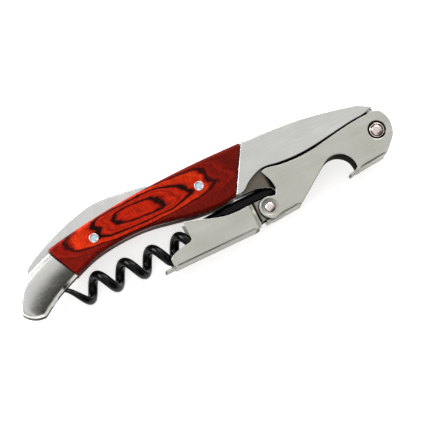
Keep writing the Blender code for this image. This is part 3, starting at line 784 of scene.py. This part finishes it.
def wire_along_path():
    """A round wire along a line of points, as thick at each as its 'half_width' says."""
    tree, given, result = empty_tree("wire_along_path", ("Sides", "NodeSocketInt"))
    width = add(tree, "GeometryNodeInputNamedAttribute", {"Name": "half_width"}, data_type="FLOAT")
    line = add(tree, "GeometryNodeMeshToCurve", {"Mesh": given.outputs["Geometry"]})
    section = add(tree, "GeometryNodeCurvePrimitiveCircle", {"Resolution": given.outputs["Sides"],
        "Radius": 1.0})
    skin = add(tree, "GeometryNodeCurveToMesh", {"Curve": line, "Profile Curve": section, "Scale": width,
        "Fill Caps": True})
    return closed_tree(tree, given, result, skin)


def pins_on_points():
    """One pin set on each point, turned over where the point's 'underside' is 1."""
    tree, given, result = empty_tree("pins_on_points", ("Pin", "NodeSocketObject"))
    under = add(tree, "GeometryNodeInputNamedAttribute", {"Name": "underside"}, data_type="FLOAT")
    half_turn = add(tree, "ShaderNodeMath", {0: under, 1: pi}, operation="MULTIPLY")
    turn = add(tree, "ShaderNodeCombineXYZ", {"X": half_turn})
    source = add(tree, "GeometryNodeObjectInfo", {"Object": given.outputs["Pin"]})
    placed = add(tree, "GeometryNodeInstanceOnPoints", {
        "Points": given.outputs["Geometry"], "Instance": source.outputs["Geometry"], "Rotation": turn})
    return closed_tree(tree, given, result, placed)


def grown(name, points, edges, attributes, tree, values):
    """The plain mesh that a Geometry Nodes tree grows from points; values are its named inputs."""
    mesh = bpy.data.meshes.new(name)
    mesh.from_pydata(points, edges, [])
    for label, numbers in attributes.items():
        mesh.attributes.new(label, "FLOAT", "POINT").data.foreach_set("value", numbers)
    seed = new_object(f"{name}_seed", mesh)
    modifier = seed.modifiers.new("grow", "NODES")
    modifier.node_group = tree
    for item in tree.interface.items_tree:
        if item.in_out == "INPUT" and item.name in values:
            modifier[item.identifier] = values[item.name]
    made = plain_mesh(seed, name)
    bpy.data.objects.remove(seed)
    return made


# ---------------------------------------------------------------- the pieces

class CORKSCREW_OT_liners(bpy.types.Operator):
    """The two plates that the handle is riveted to"""
    bl_idname = "corkscrew.liners"
    bl_label = "Liners"

    def execute(self, context):
        edge = 0.06
        runs = [(run, edge) for run in (HEAD_BACK, WOOD_BACK, TAIL_BACK, TAIL_BELLY, TAIL_BELLY_STRAIGHT,
                                        WOOD_BELLY, *TANG_RUNS)]
        outline = shrunk(chain(*runs, near=0.2), 0.15)
        bores = [bore(spot, radius, LINER_TOP, SLOT) for spot, radius in (
            (ORIGIN, LEVER_RIVET_R), (WORM_EYE, WORM_PIN_R), (KNIFE_EYE, KNIFE_PIN_R),
            (SPRING_PIN, FRAME_PIN_R), (SPACER_PIN, FRAME_PIN_R), *[(pin, SCALE_PIN_R) for pin in SCALE_PINS])]
        solid = plate(outline, SLOT, LINER_TOP, bores, steps=2)
        each_side("liner", solid, finish_of(plain_inner_stainless))
        return {"FINISHED"}


class CORKSCREW_OT_front_bolsters(bpy.types.Operator):
    """The cast head bolsters, with the tang that goes in under the lever"""
    bl_idname = "corkscrew.front_bolsters"
    bl_label = "Front bolsters"

    def execute(self, context):
        edge = context.scene.corkscrew_sizes.bolster_edge / MM
        bores = [bore(ORIGIN, LEVER_RIVET_R, TANG_TOP, SCALE_BASE),
            bore(WORM_EYE, WORM_PIN_R, TANG_TOP, SCALE_BASE)]
        hidden_back = [(x - 0.5, y - 0.6) for x, y in HEAD_BACK]
        lower = [(run, 0.2) for run in TANG_RUNS[:4]]
        tang_outline = shrunk(chain((hidden_back, 0.1), (FRONT_JOINT[1:], 0.05), *lower,
            ([(1.4, 4.8)], 0.1), near=0.45), 0.06)
        tang = plate(tang_outline, SCALE_BASE, TANG_TOP, bores, steps=3)
        back = [([(x, y)], min(edge, 0.08 + 0.14 * (HEAD_TIP[0] - x))) for x, y in HEAD_BACK]
        raised_outline = shrunk(chain(*back, (FRONT_JOINT, 0.22), (RAISED_LOWER[:-2], 0.14), near=0.5), 0.1)
        raised = plate(raised_outline, SCALE_BASE + 0.15, HALF, steps=5)
        each_side("front_bolster", raised, finish_of(satin_cast_stainless))
        for side, shape in (("left", tang), ("right", turned_over(tang))):
            name = f"front_bolster_tang_{side}"
            made = new_object(name, mesh_of(name, shape))
            made.data.materials.append(finish_of(as_cast_stainless))
            # The tang's rounded edges take the lighter bolster finish: its lighter colour there is a painted
            # highlight along the edge.
            second_finish(made, finish_of(satin_cast_stainless), lambda middle, normal: abs(normal.z) < 0.93)
            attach(made, "handle")
        return {"FINISHED"}


def arched_rows(belly, back, ribs, columns, end, bow, height):
    """Rows of points from the tail joint on, between two edges. bow(u) is how much of the joint's
    curve x and y keep, and how far x is moved; height(u, v, width) is above the mid-plane."""
    rows = []
    for i in range(ribs + 1):
        u = i / ribs * end
        low, high = along(belly, u), along(back, u)
        bow_x, bow_y, moved = bow(u)
        width = hypot(high[0] - low[0], high[1] - low[1])
        row = []
        for k in range(columns + 1):
            v = 0.5 - 0.5 * cos(pi * k / columns)
            x, y = mixed(low, high, v)
            bowed, chord = along(REAR_JOINT, v), mixed(REAR_JOINT[0], REAR_JOINT[-1], v)
            row.append((x + (bowed[0] - chord[0]) * bow_x + moved, y + (bowed[1] - chord[1]) * bow_y,
                        height(u, v, width)))
        rows.append(row)
    return rows


class CORKSCREW_OT_rear_bolsters(bpy.types.Operator):
    """The domed tail caps"""
    bl_idname = "corkscrew.rear_bolsters"
    bl_label = "Rear bolsters"

    def execute(self, context):
        edge_z, fall_length, facet, crown = 2.5, 0.5, 0.10, 0.74
        belly = [REAR_JOINT[0], *backwards(TAIL_BELLY_STRAIGHT), *backwards(TAIL_BELLY)[1:-1]]

        def height(u, v, width):
            fall = sqrt(max(0.0, 1 - max(0.0, (u - 1 + fall_length) / fall_length) ** 2.4))
            if v < crown:
                arch = 0.28 * min(1.0, v / facet) + 0.72 * (1 - (1 - v / crown) ** 2)
            else:
                arch = max(0.0, 1 - ((v - crown) / (1 - crown)) ** 2.4) ** 0.6
            return edge_z + (HALF - edge_z) * arch * fall

        rows = arched_rows(belly, TAIL_BACK, 44, 32, 0.985, lambda u: (1 - u, 1 - u, -0.12), height)
        each_side("rear_bolster", ribbed(rows, SCALE_BASE), finish_of(satin_cast_stainless))
        return {"FINISHED"}


class CORKSCREW_OT_wood_scales(bpy.types.Operator):
    """The slabs of red laminated wood"""
    bl_idname = "corkscrew.wood_scales"
    bl_label = "Wood scales"

    def execute(self, context):
        edge_z, bevel, top = 4.0, 0.85, HALF - 0.04

        def height(u, v, width):
            from_edge = min(v, 1 - v) * width
            return top - (top - edge_z) * max(0.0, 1 - from_edge / bevel) ** 1.5

        rows = arched_rows([REAR_JOINT[0], *WOOD_BELLY], backwards(WOOD_BACK), 72, 32, 0.9995,
                           lambda u: (max(0.0, 1 - 3 * u), 0.0, 0.06 * (1 - 2 * u)), height)
        rows.reverse()
        each_side("wood_scale", ribbed(rows, SCALE_BASE), finish_of(red_resin_laminate))
        return {"FINISHED"}


def pattern_mesh(name, solid):
    """A mesh in metres about its own origin, to be set on points."""
    points, faces = solid
    mesh = bpy.data.meshes.new(f"{name}_pattern")
    mesh.from_pydata([Vector(p) * MM for p in points], [], faces)
    mesh.shade_smooth()
    mesh.set_sharp_from_angle(angle=radians(FLAT_TO_SHARP))
    return mesh


class CORKSCREW_OT_pins(bpy.types.Operator):
    """The tubular pins that hold the scales, and the solid ones inside the handle"""
    bl_idname = "corkscrew.pins"
    bl_label = "Pins"

    def execute(self, context):
        r = SCALE_PIN_R
        top = HALF + 0.08
        rim = ring_solid(ORIGIN, [(r - 0.5, SLOT + 0.1), (r - 0.1, SLOT + 0.1), (r, SLOT + 0.2),
            (r, top - 0.12), (r - 0.05, top - 0.04), (r - 0.13, top), (r - 0.36, top),
            (r - 0.44, top - 0.05), (r - 0.5, top - 0.14)])
        core = turned(ORIGIN, [(0, SLOT + 0.15), (r - 0.52, SLOT + 0.15), (r - 0.52, top - 0.08),
            (0, top - 0.06)])
        spots = [(x, y, side) for x, y in SCALE_PINS for side in (0, 1)]
        for name, solid, finish in (("scale_pins_finished", rim, polished_rivet_steel),
                                    ("scale_pin_centres", core, pin_centre_enamel)):
            pattern = new_object(f"{name}_pattern", pattern_mesh(name, solid))
            mesh = grown(name, [place(x, y, 0) for x, y, side in spots], [],
                         {"underside": [side for x, y, side in spots]}, pins_on_points(),
                         {"Pin": pattern, "Finish": finish_of(finish)})
            bpy.data.objects.remove(pattern)
            made = new_object(name, mesh)
            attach(made, "handle")
            if solid is rim:
                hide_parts(*[f"scale_pin_{end}_{side}" for end in ("front", "rear")
                                    for side in ("left", "right")])
        for node, spot, radius, reach in (("spring_pin", SPRING_PIN, FRAME_PIN_R, LINER_TOP),
                                          ("spacer_pin", SPACER_PIN, FRAME_PIN_R, LINER_TOP),
                                          ("knife_pin", KNIFE_EYE, KNIFE_PIN_R, LINER_TOP),
                                          ("worm_pin", WORM_EYE, WORM_PIN_R, TANG_TOP - 0.1)):
            shape = turned(spot, [(0, -reach), (radius - 0.2, -reach), (radius, 0.2 - reach),
                (radius, reach - 0.2), (radius - 0.2, reach), (0, reach)])
            piece([node], mesh_of(node, shape), "handle", finish_of(plain_inner_stainless))
        return {"FINISHED"}


class CORKSCREW_OT_inner_parts(bpy.types.Operator):
    """The spring along the belly and the spacer along the back of the head"""
    bl_idname = "corkscrew.inner_parts"
    bl_label = "Spring and spacer"

    def execute(self, context):
        edge = 0.08
        lower = smooth([(-98.9, -2.2), (-95.0, -0.8), (-90.0, 0.9), (-84.0, 2.3), (-77.0, 3.1),
            (-69.0, 3.0), (-61.5, 1.8), (-54.0, 0.5), (-46.0, 0.2), (-38.0, 0.5), (-32.0, 1.6),
            (-27.2, 1.7)])
        upper = smooth([(-27.2, 3.3), (-38.0, 2.4), (-46.0, 2.1), (-54.0, 2.4), (-60.5, 4.4), (-69.0, 4.8),
            (-77.0, 4.8), (-84.0, 4.0), (-90.0, 2.5), (-95.0, 0.7), (-98.5, -0.9)])
        half = SLOT - 0.2
        bores = [bore(SPRING_PIN, FRAME_PIN_R, half, -half, 0.05)]
        shape = plate(chain((lower, edge), (upper, edge)), -half, half, bores, low_round=edge, steps=2)
        piece(["main_spring"], mesh_of("main_spring", shape), "handle",
              finish_of(plain_inner_stainless))
        floor = chain((smooth([(-59.0, 8.0), (-50.0, 5.4), (-40.0, 4.6), (-30.0, 4.5), (-24.0, 4.0),
            (-17.0, 1.8), (-9.0, 0.6), (-4.4, -0.2)]), edge), (arc(ORIGIN, 3.6, 190, 410), edge),
            ([(1.9, 4.7)], edge), near=0.3)
        back = [p for p in (*HEAD_BACK[3:], *WOOD_BACK) if p[0] > -58.0]
        ridge = shrunk(chain((back, edge), ([(-58.6, 13.3), (-40.0, 6.0)], edge), near=0.6), 0.3)[:-1]
        half = SLOT - 0.1
        bores = [bore(ORIGIN, LEVER_RIVET_R, half, -half), bore(SPACER_PIN, FRAME_PIN_R, half, -half, 0.12)]
        shape = plate([*floor, *ridge], -half, half, bores, low_round=edge, steps=2)
        piece(["head_spacer"], mesh_of("head_spacer", shape), "handle",
              finish_of(plain_inner_stainless))
        return {"FINISHED"}


class CORKSCREW_OT_rivets(bpy.types.Operator):
    """The lever's rivet in its bushes, and the rivet of the hinge"""
    bl_idname = "corkscrew.rivets"
    bl_label = "Rivets"

    def execute(self, context):
        finish = finish_of(polished_rivet_steel)
        inner = LEVER_RIVET_R + 0.24
        outer = BUSH_R - 0.24
        low = TANG_TOP + 0.05
        bush = ring_solid(ORIGIN, [(inner, low), (outer, low), (outer, HALF - 0.32),
            (outer - 0.05, HALF - 0.22), (outer - 0.15, HALF - 0.16), (inner + 0.1, HALF - 0.16),
            (inner + 0.04, HALF - 0.22), (inner, HALF - 0.32)])
        each_side("lever_bush", bush, finish)

        def headed(spot, radius, top):
            head = [(radius - 0.03, top - 0.28), (radius - 0.16, top - 0.12), (radius * 0.66, top - 0.03),
                    (radius * 0.3, top)]
            upper = [(radius, top - 0.45), *head]
            return turned(spot, [(0, -top), *[(r, -z) for r, z in backwards(upper)], *upper, (0, top)])

        for node, body, spot, radius, proud in (("lever_rivet", "handle", ORIGIN, LEVER_RIVET_R, 0.02),
                                                ("hinge_rivet", "upper_lever", HINGE, HINGE_RIVET_R, 0.05)):
            piece([node], mesh_of(node, headed(spot, radius, HALF + proud), DOME_SHARP), body,
                finish)
        return {"FINISHED"}


NOTCH_CENTRE = (-14.35, -6.15)
NOTCH_R = 5.0


def faces_belly(middle, normal):
    """Whether a face is on the outside of a folded channel's web."""
    return normal.y < -0.7


def faces_inwards(middle, normal):
    """Whether a face of a folded channel looks into the channel."""
    return middle.z * normal.z < -2.0 or (normal.y > 0.5 and abs(middle.z) < FLANGE_BASE)


def unbrushed(middle, normal):
    """Whether a face is drawn dark: inside the channel, as painted shade, or on the end of the cap lip."""
    on_lip = abs(middle.z) < 2.5 and -12.3 < middle.x < -11.5 and middle.y < -7.9
    return on_lip or faces_inwards(middle, normal)


def in_hinge_dish(middle, normal):
    """Whether a face is in the dish round the hinge's rivet."""
    reach = hypot(middle.x - HINGE[0], middle.y - HINGE[1])
    return abs(middle.z) > FLANGE_BASE and 0.1 < reach < 2.44


class CORKSCREW_OT_upper_lever(bpy.types.Operator):
    """The folded channel of the upper lever, with the notch for crown caps"""
    bl_idname = "corkscrew.upper_lever"
    bl_label = "Upper lever"

    def execute(self, context):
        sizes = context.scene.corkscrew_sizes
        bend, cut = sizes.bend / MM, sizes.cut_edge / MM
        head = smooth([(-0.5, -7.05), (2.0, -4.7), (3.6, -2.8), (HEAD_X, 0.2), (4.05, 2.6), (2.95, 4.55),
            (1.5, 5.2), (0.0, 5.2)])
        top = smooth([(0.0, 5.2), (-5.6, 4.85), (-12.0, 3.9), (-19.0, 2.75), (-24.0, 2.5), (-28.5, 2.8),
            (-32.6, 3.6), (-34.4, 3.3)])
        left = smooth([(-34.4, 3.3), (-33.1, 0.3), (-32.7, -2.5), (-33.6, -4.3)])
        knuckle = arc(HINGE, 2.95, 62, 235)
        outline = chain((head, cut), (top, cut), (left, cut), (knuckle, cut), ([(-37.2, -9.85)], cut),
            ([(-36.3, -10.05)], cut), ([(-33.9, -9.93), (-28.9, -9.6)], bend),
            ([(-28.0, -9.5), (-27.3, -9.0)], cut), (arc(NOTCH_CENTRE, NOTCH_R, 124, -20), cut),
            ([(-9.75, -7.93), (-9.2, -7.9)], cut), ([(-8.1, -7.79), (-1.3, -7.12)], bend), near=0.2)
        bush = BUSH_R + 0.24
        rivet = HINGE_RIVET_R + 0.1
        holes = [(ORIGIN, [(bush + 0.2, HALF), (bush + 0.07, HALF - 0.06), (bush, HALF - 0.2),
            (bush, FLANGE_BASE)]), (HINGE, [(2.45, HALF), (2.25, HALF - 0.07), (2.0, HALF - 0.17),
            (rivet, HALF - 0.2), (rivet, FLANGE_BASE)])]
        flange = plate(outline, FLANGE_BASE, HALF, holes, steps=6)
        web_half = FLANGE_BASE + 0.1
        sink = 0.03
        solids = [flange, strip((-9.7, -7.92 + sink), (-0.6, -7.06 + sink), web_half, 0.02),
            turned_over(flange), strip((-33.4, -9.9 + sink), (-28.2, -9.56 + sink), web_half, 0.02),
            strip((-11.8, -8.5 + sink), (-8.8, -7.85 + sink), 2.4),
            strip((-38.7, -10.3 + sink), (-32.8, -9.9 + sink), 3.0)]
        made = piece(["upper_lever"], united_mesh("upper_lever", solids), "upper_lever",
            finish_of(brushed_stainless_sheet))
        second_finish(made, finish_of(folded_sheet_edge), faces_belly)
        # Painted shade inside the channel; the end of the cap lip is drawn dark too.
        second_finish(made, finish_of(unbrushed_sheet), unbrushed)
        # The dish takes the duller edge finish: partly the coined surface, partly painted shade for the
        # recess.
        second_finish(made, finish_of(folded_sheet_edge), in_hinge_dish)
        return {"FINISHED"}


JOGGLE_START = -42.2
JOGGLE_END = -40.4


def stepped_in(solid):
    """A flange cut across at its step and pushed inwards beyond it, so that the ear is recessed."""
    points, faces = solid
    flat = bmesh.new()
    corners = [flat.verts.new(p) for p in points]
    for face in faces:
        flat.faces.new([corners[i] for i in face])
    cuts = 8
    for i in range(cuts + 1):
        x = JOGGLE_START + (JOGGLE_END - JOGGLE_START) * i / cuts
        bmesh.ops.bisect_plane(flat, geom=flat.verts[:] + flat.edges[:] + flat.faces[:], dist=0.0005,
            plane_co=(x, 0, 0), plane_no=(1, 0, 0))
    for corner in flat.verts:
        share = risen(corner.co.x, JOGGLE_START, JOGGLE_END)
        corner.co.z -= EAR_DROP * share * share * (3 - 2 * share)
    bmesh.ops.triangulate(flat, faces=[face for face in flat.faces if len(face.verts) > 4])
    flat.verts.index_update()
    result = [tuple(v.co) for v in flat.verts], [tuple(v.index for v in face.verts) for face in flat.faces]
    flat.free()
    return result


def on_ear_or_tip(middle, normal):
    """Whether a face of the lower lever is past its step or at the far tip of its web."""
    return middle.x > JOGGLE_END - 0.15 or (middle.x < -69.6 and normal.y < 0.5)


class CORKSCREW_OT_lower_lever(bpy.types.Operator):
    """The folded channel of the lower lever, stepped in at the hinge"""
    bl_idname = "corkscrew.lower_lever"
    bl_label = "Lower lever"

    def execute(self, context):
        sizes = context.scene.corkscrew_sizes
        bend, cut = sizes.bend / MM, sizes.cut_edge / MM
        top = smooth([(-40.4, -3.7), (-44.7, -3.9), (-48.8, -3.6), (-52.6, -2.5), (-56.6, -1.1),
            (-59.95, 0.0)])
        end = smooth([(-59.95, -5.4), (-60.6, -5.9), (-64.5, -6.6), (-67.0, -7.6), (-67.5, -8.6),
            (-67.4, -10.2)])
        outline = chain(([(-66.9, -10.72)], cut), ([(-66.2, -10.75), (-43.0, -10.75)], bend),
            ([(-42.3, -10.75), (-41.0, -10.7), (-40.4, -9.4), (-38.4, -9.15)], cut),
            (arc(HINGE, 2.5, 262, 430), cut), ([(-36.4, -3.7)], cut), (top, cut), (end, cut), near=0.2)
        flange = stepped_in(plate(outline, FLANGE_BASE, HALF,
            [bore(HINGE, HINGE_RIVET_R, HALF, FLANGE_BASE)], steps=6))
        web_y = -10.72
        solids = [flange, strip((-67.0, web_y), (-42.3, web_y), FLANGE_BASE + 0.1, 0.02), turned_over(flange),
                  strip((-70.0, web_y - 0.06), (-66.2, web_y + 0.03), 2.6)]
        made = piece(["lower_lever"], united_mesh("lower_lever", solids), "lower_lever",
            finish_of(brushed_stainless_sheet))
        second_finish(made, finish_of(folded_sheet_edge), faces_belly)
        # The ears take a duller grey as painted shade, and the web's far tip is drawn dark.
        second_finish(made, finish_of(hinge_ear_sheet), on_ear_or_tip)
        return {"FINISHED"}


WORM_AXIS_Y = -5.4
WORM_LAST_TOP_X = -54.5
WORM_TURNS = 5.12


class CORKSCREW_OT_worm(bpy.types.Operator):
    """The coated worm: its wire, its flattened shank and its eye"""
    bl_idname = "corkscrew.worm"
    bl_label = "Worm"

    def execute(self, context):
        sizes = context.scene.corkscrew_sizes
        pitch, turn_r, wire = sizes.worm_pitch / MM, sizes.worm_turn / MM, sizes.wire / MM
        steps = 40
        point_turns = 0.6
        path, widths = [], []
        for i in range(int(WORM_TURNS * steps)):
            turn = -WORM_TURNS + i / steps
            if turn > -0.09:
                break
            from_tip = i / steps
            radius = turn_r + 0.5 * max(0.0, 1 - from_tip / point_turns)
            angle = 2 * pi * turn
            drawn_out = 3.3 * max(0.0, 1 - from_tip / point_turns) ** 1.5
            path.append((WORM_LAST_TOP_X + pitch * turn - drawn_out, WORM_AXIS_Y + radius * cos(angle),
                radius * sin(angle)))
            widths.append(wire * min(1.0, 0.08 + 1.25 * from_tip ** 0.8))
        neck = smooth([path[-2], path[-1], (-54.5, -2.5, -0.5), (-53.2, -2.35, -0.08), (-51.5, -2.25, 0.0),
            (-48.5, -2.2, 0.0)], 5)[6:]
        path += neck
        widths += [wire] * len(neck)
        mesh = grown("worm_wire", [place(*p) for p in path], [(i, i + 1) for i in range(len(path) - 1)],
                     {"half_width": [w * MM for w in widths]}, wire_along_path(),
                     {"Sides": sizes.wire_sides, "Finish": finish_of(black_nonstick_coating)})
        points = [tuple((v.co - LEVER) / MM) for v in mesh.vertices]
        wire_solid = points, [tuple(p.vertices) for p in mesh.polygons]
        shoulder = 1.05
        upper = [(-31.5, -0.5), (-40.0, -0.5), (-47.0, -0.52), (-49.4, -0.65), (-52.0, -1.0)]
        lower = [(-52.0, -3.5), (-49.4, -3.75), (-47.0, -3.88), (-40.0, -3.9), (-31.5, -3.9)]
        half = 1.2
        bar = plate(chain((upper, shoulder), (lower, shoulder), near=0.3), -half, half, low_round=0.9,
            steps=6)
        eye_hole = [(WORM_EYE, [(WORM_PIN_R + 0.2, half), (WORM_PIN_R + 0.1, half - 0.1),
            (WORM_PIN_R + 0.1, 0.1 - half), (WORM_PIN_R + 0.2, -half)])]
        eye = plate(chain((arc(WORM_EYE, 2.8, 0, 360, 64), 0.3)), -half, half, eye_hole, low_round=0.25)
        united = united_mesh("worm", [eye, bar, wire_solid], DOME_SHARP)
        piece(["worm"], united, "worm", finish_of(black_nonstick_coating))
        return {"FINISHED"}


FIRST_TOOTH_X = -93.0
TOOTH_SPACING = 1.7
TOOTH_DEPTH = 0.32
GROUND_WIDTH = 1.2
GROUND_AWAY = 0.78


def on_knife_back(middle, normal):
    """Whether a face is on the knife's back, from its middle to its tip, where a dark finish paints shade
    along the back edge.
    """
    return abs(normal.z) < 0.94 and middle.x > -83.0 and normal.y > 0.0


class CORKSCREW_OT_foil_knife(bpy.types.Operator):
    """The curved foil knife, ground thin towards its serrated edge"""
    bl_idname = "corkscrew.foil_knife"
    bl_label = "Foil knife"

    def execute(self, context):
        edge = smooth([(-98.8, -1.0), (-96.2, 1.4), (-92.0, 3.6), (-84.0, 5.8), (-76.0, 7.2), (-69.0, 9.0),
            (-62.2, 12.4)], 16)
        teeth = []
        for x, y in edge:
            share = risen(x, FIRST_TOOTH_X, FIRST_TOOTH_X + 3.0) * risen(x, -64.0, -67.0)
            teeth.append((x, y + TOOTH_DEPTH * share * abs(sin(pi * (x - FIRST_TOOTH_X) / TOOTH_SPACING))))
        back = smooth([(-62.2, 12.4), (-63.7, 13.6), (-68.0, 14.6), (-74.0, 15.4), (-79.1, KNIFE_TOP_Y),
            (-84.0, 15.1), (-90.8, 13.2), (-97.5, 10.6), (-102.6, 8.1), (-104.35, 6.9)])
        tang = [(-105.0, 5.2), *arc(KNIFE_EYE, 4.8, 130, 350)]
        rounded = [([(x, y)], 0.34 if -83.0 < x < -66.5 else 0.14) for x, y in back[3:]]
        outline = chain((teeth[:-5], 0.28), (back[:1], 0.1), *rounded, (tang, 0.14), near=0.15)
        half = 0.9
        blade = plate(outline, -half, half, [bore(KNIFE_EYE, KNIFE_PIN_R, half, -half)], low_round=0.25)
        boss_half = SLOT - 0.1
        boss = plate(chain((arc(KNIFE_EYE, 4.0, 0, 360, 48), 0.1)), -boss_half, boss_half,
            [bore(KNIFE_EYE, KNIFE_PIN_R, boss_half, -boss_half)])
        ground = thinned(blade, teeth)
        made = piece(["foil_knife"], united_mesh("foil_knife", [ground, boss]), "knife",
            finish_of(ground_blade_stainless))
        # Painted shade: a dark line along the knife's back from its middle to its tip.
        second_finish(made, finish_of(plain_inner_stainless), on_knife_back)
        return {"FINISHED"}


def thinned(solid, edge):
    """The blade with its thickness falling away near its cutting edge."""
    points, faces = solid
    out = []
    for x, y, z in points:
        nearest = min(hypot(x - ex, y - ey) for ex, ey in edge)
        ground = risen(x, -96.5, -93.5) * risen(x, -66.0, -69.0)
        keep = 1 - ground * GROUND_AWAY * max(0.0, 1 - nearest / GROUND_WIDTH)
        out.append((x, y, z * keep))
    return out, faces


# ---------------------------------------------------------------- the stage

FRAME_WIDTH = 118.7
VIEW_CENTRE = (-51.2, -2.15)
TOWARDS_CAMERA = Vector((-0.11, -0.115, 0.987)).normalized()
TOOL_SLOPE = radians(25.4)
LENS = 250.0
SENSOR = 36.0


def aimed_camera():
    """A long lens over the tool, turned so that the head points up and to the right."""
    data = bpy.data.cameras.new("studio_camera")
    data.lens = LENS
    data.sensor_width = SENSOR
    made = new_object("studio_camera", data)
    tool_x = (Vector((1, 0, 0)) - TOWARDS_CAMERA * TOWARDS_CAMERA.x).normalized()
    tool_y = TOWARDS_CAMERA.cross(tool_x)
    right = tool_x * cos(TOOL_SLOPE) - tool_y * sin(TOOL_SLOPE)
    up = tool_x * sin(TOOL_SLOPE) + tool_y * cos(TOOL_SLOPE)
    distance = FRAME_WIDTH * MM * LENS / SENSOR
    eye = place(*VIEW_CENTRE, HALF) + TOWARDS_CAMERA * distance
    axes = Matrix((right, up, TOWARDS_CAMERA)).transposed()
    made.matrix_world = Matrix.Translation(eye) @ axes.to_4x4()
    data.clip_start = 0.05
    data.clip_end = 20.0
    return made


def soft_light(name, towards, distance, size, power):
    """A square panel that faces the tool from a direction."""
    data = bpy.data.lights.new(name, "AREA")
    data.shape = "SQUARE"
    data.size = size
    data.energy = power
    made = new_object(name, data)
    direction = Vector(towards).normalized()
    made.location = direction * distance
    made.rotation_mode = "QUATERNION"
    made.rotation_quaternion = direction.to_track_quat("Z", "Y")
    return made


DARK_SIDE = (0.42, -0.66, 0.66)


def studio_world():
    """Pale grey overhead, dimmer towards the horizon, with a darker side that shapes the domed metal."""
    world = bpy.data.worlds.new("studio_world")
    world.use_nodes = True
    tree = world.node_tree
    background = tree.nodes["Background"]
    direction = add(tree, "ShaderNodeTexCoord").outputs["Generated"]
    side = add(tree, "ShaderNodeVectorMath", {0: direction, 1: tuple(Vector(DARK_SIDE).normalized())},
               operation="DOT_PRODUCT")
    share = add(tree, "ShaderNodeMapRange", {"Value": side.outputs["Value"], "From Min": 0.68,
        "From Max": 0.93}, interpolation_type="SMOOTHSTEP")
    up = add(tree, "ShaderNodeSeparateXYZ", {"Vector": direction})
    height = add(tree, "ShaderNodeMapRange", {"Value": up.outputs["Z"], "From Min": 0.05, "From Max": 0.5},
        interpolation_type="SMOOTHSTEP")
    sky = add(tree, "ShaderNodeMix", {"Factor": height, 6: linear("#77746F"), 7: linear("#EFEFEF")},
              data_type="RGBA")
    tone = add(tree, "ShaderNodeMix", {"Factor": share, 6: sky.outputs[2], 7: linear("#45403A")},
               data_type="RGBA")
    tree.links.new(tone.outputs[2], background.inputs["Color"])
    background.inputs["Strength"].default_value = 1.0
    bpy.context.scene.world = world


class CORKSCREW_OT_stage(bpy.types.Operator):
    """Plain pale floor, soft light and the camera"""
    bl_idname = "corkscrew.stage"
    bl_label = "Stage"

    def execute(self, context):
        reach = 1.5
        mesh = bpy.data.meshes.new("studio_floor")
        drop = -0.05 * MM
        corners = [(x * reach, y * reach, drop) for x, y in ((-1, -1), (1, -1), (1, 1), (-1, 1))]
        mesh.from_pydata(corners, [], [(0, 1, 2, 3)])
        mesh.materials.append(finish_of(pale_floor_paint))
        new_object("studio_floor", mesh)
        studio_world()
        soft_light("key_panel", (-0.85, 0.85, 0.55), distance=0.9, size=0.45, power=7.0)
        soft_light("fill_panel", (0.6, 0.9, 0.7), distance=0.9, size=0.5, power=4.0)
        context.scene.camera = aimed_camera()
        context.scene.view_settings.view_transform = "Standard"
        return {"FINISHED"}


# ---------------------------------------------------------------- the add-on

OPERATORS = (CORKSCREW_OT_liners, CORKSCREW_OT_front_bolsters, CORKSCREW_OT_rear_bolsters,
    CORKSCREW_OT_wood_scales, CORKSCREW_OT_pins, CORKSCREW_OT_inner_parts, CORKSCREW_OT_rivets,
    CORKSCREW_OT_upper_lever, CORKSCREW_OT_lower_lever, CORKSCREW_OT_worm, CORKSCREW_OT_foil_knife,
    CORKSCREW_OT_stage)


class VIEW3D_PT_corkscrew(bpy.types.Panel):
    """The corkscrew's pieces, sizes and colours"""
    bl_label = "Corkscrew"
    bl_space_type = "VIEW_3D"
    bl_region_type = "UI"
    bl_category = "Corkscrew"

    def draw(self, context):
        for settings in (context.scene.corkscrew_sizes, context.scene.corkscrew_look):
            for name in settings.__annotations__:
                self.layout.prop(settings, name)
        for operator in OPERATORS:
            self.layout.operator(operator.bl_idname)


CLASSES = (CorkscrewLook, CorkscrewSizes, *OPERATORS, VIEW3D_PT_corkscrew)


def register():
    for made in CLASSES:
        bpy.utils.register_class(made)
    bpy.types.Scene.corkscrew_look = bpy.props.PointerProperty(type=CorkscrewLook)
    bpy.types.Scene.corkscrew_sizes = bpy.props.PointerProperty(type=CorkscrewSizes)


def unregister():
    del bpy.types.Scene.corkscrew_sizes
    del bpy.types.Scene.corkscrew_look
    for made in reversed(CLASSES):
        bpy.utils.unregister_class(made)


def main():
    register()
    for operator in OPERATORS:
        getattr(bpy.ops.corkscrew, operator.bl_idname.split(".")[1])()


if __name__ == "__main__":
    main()
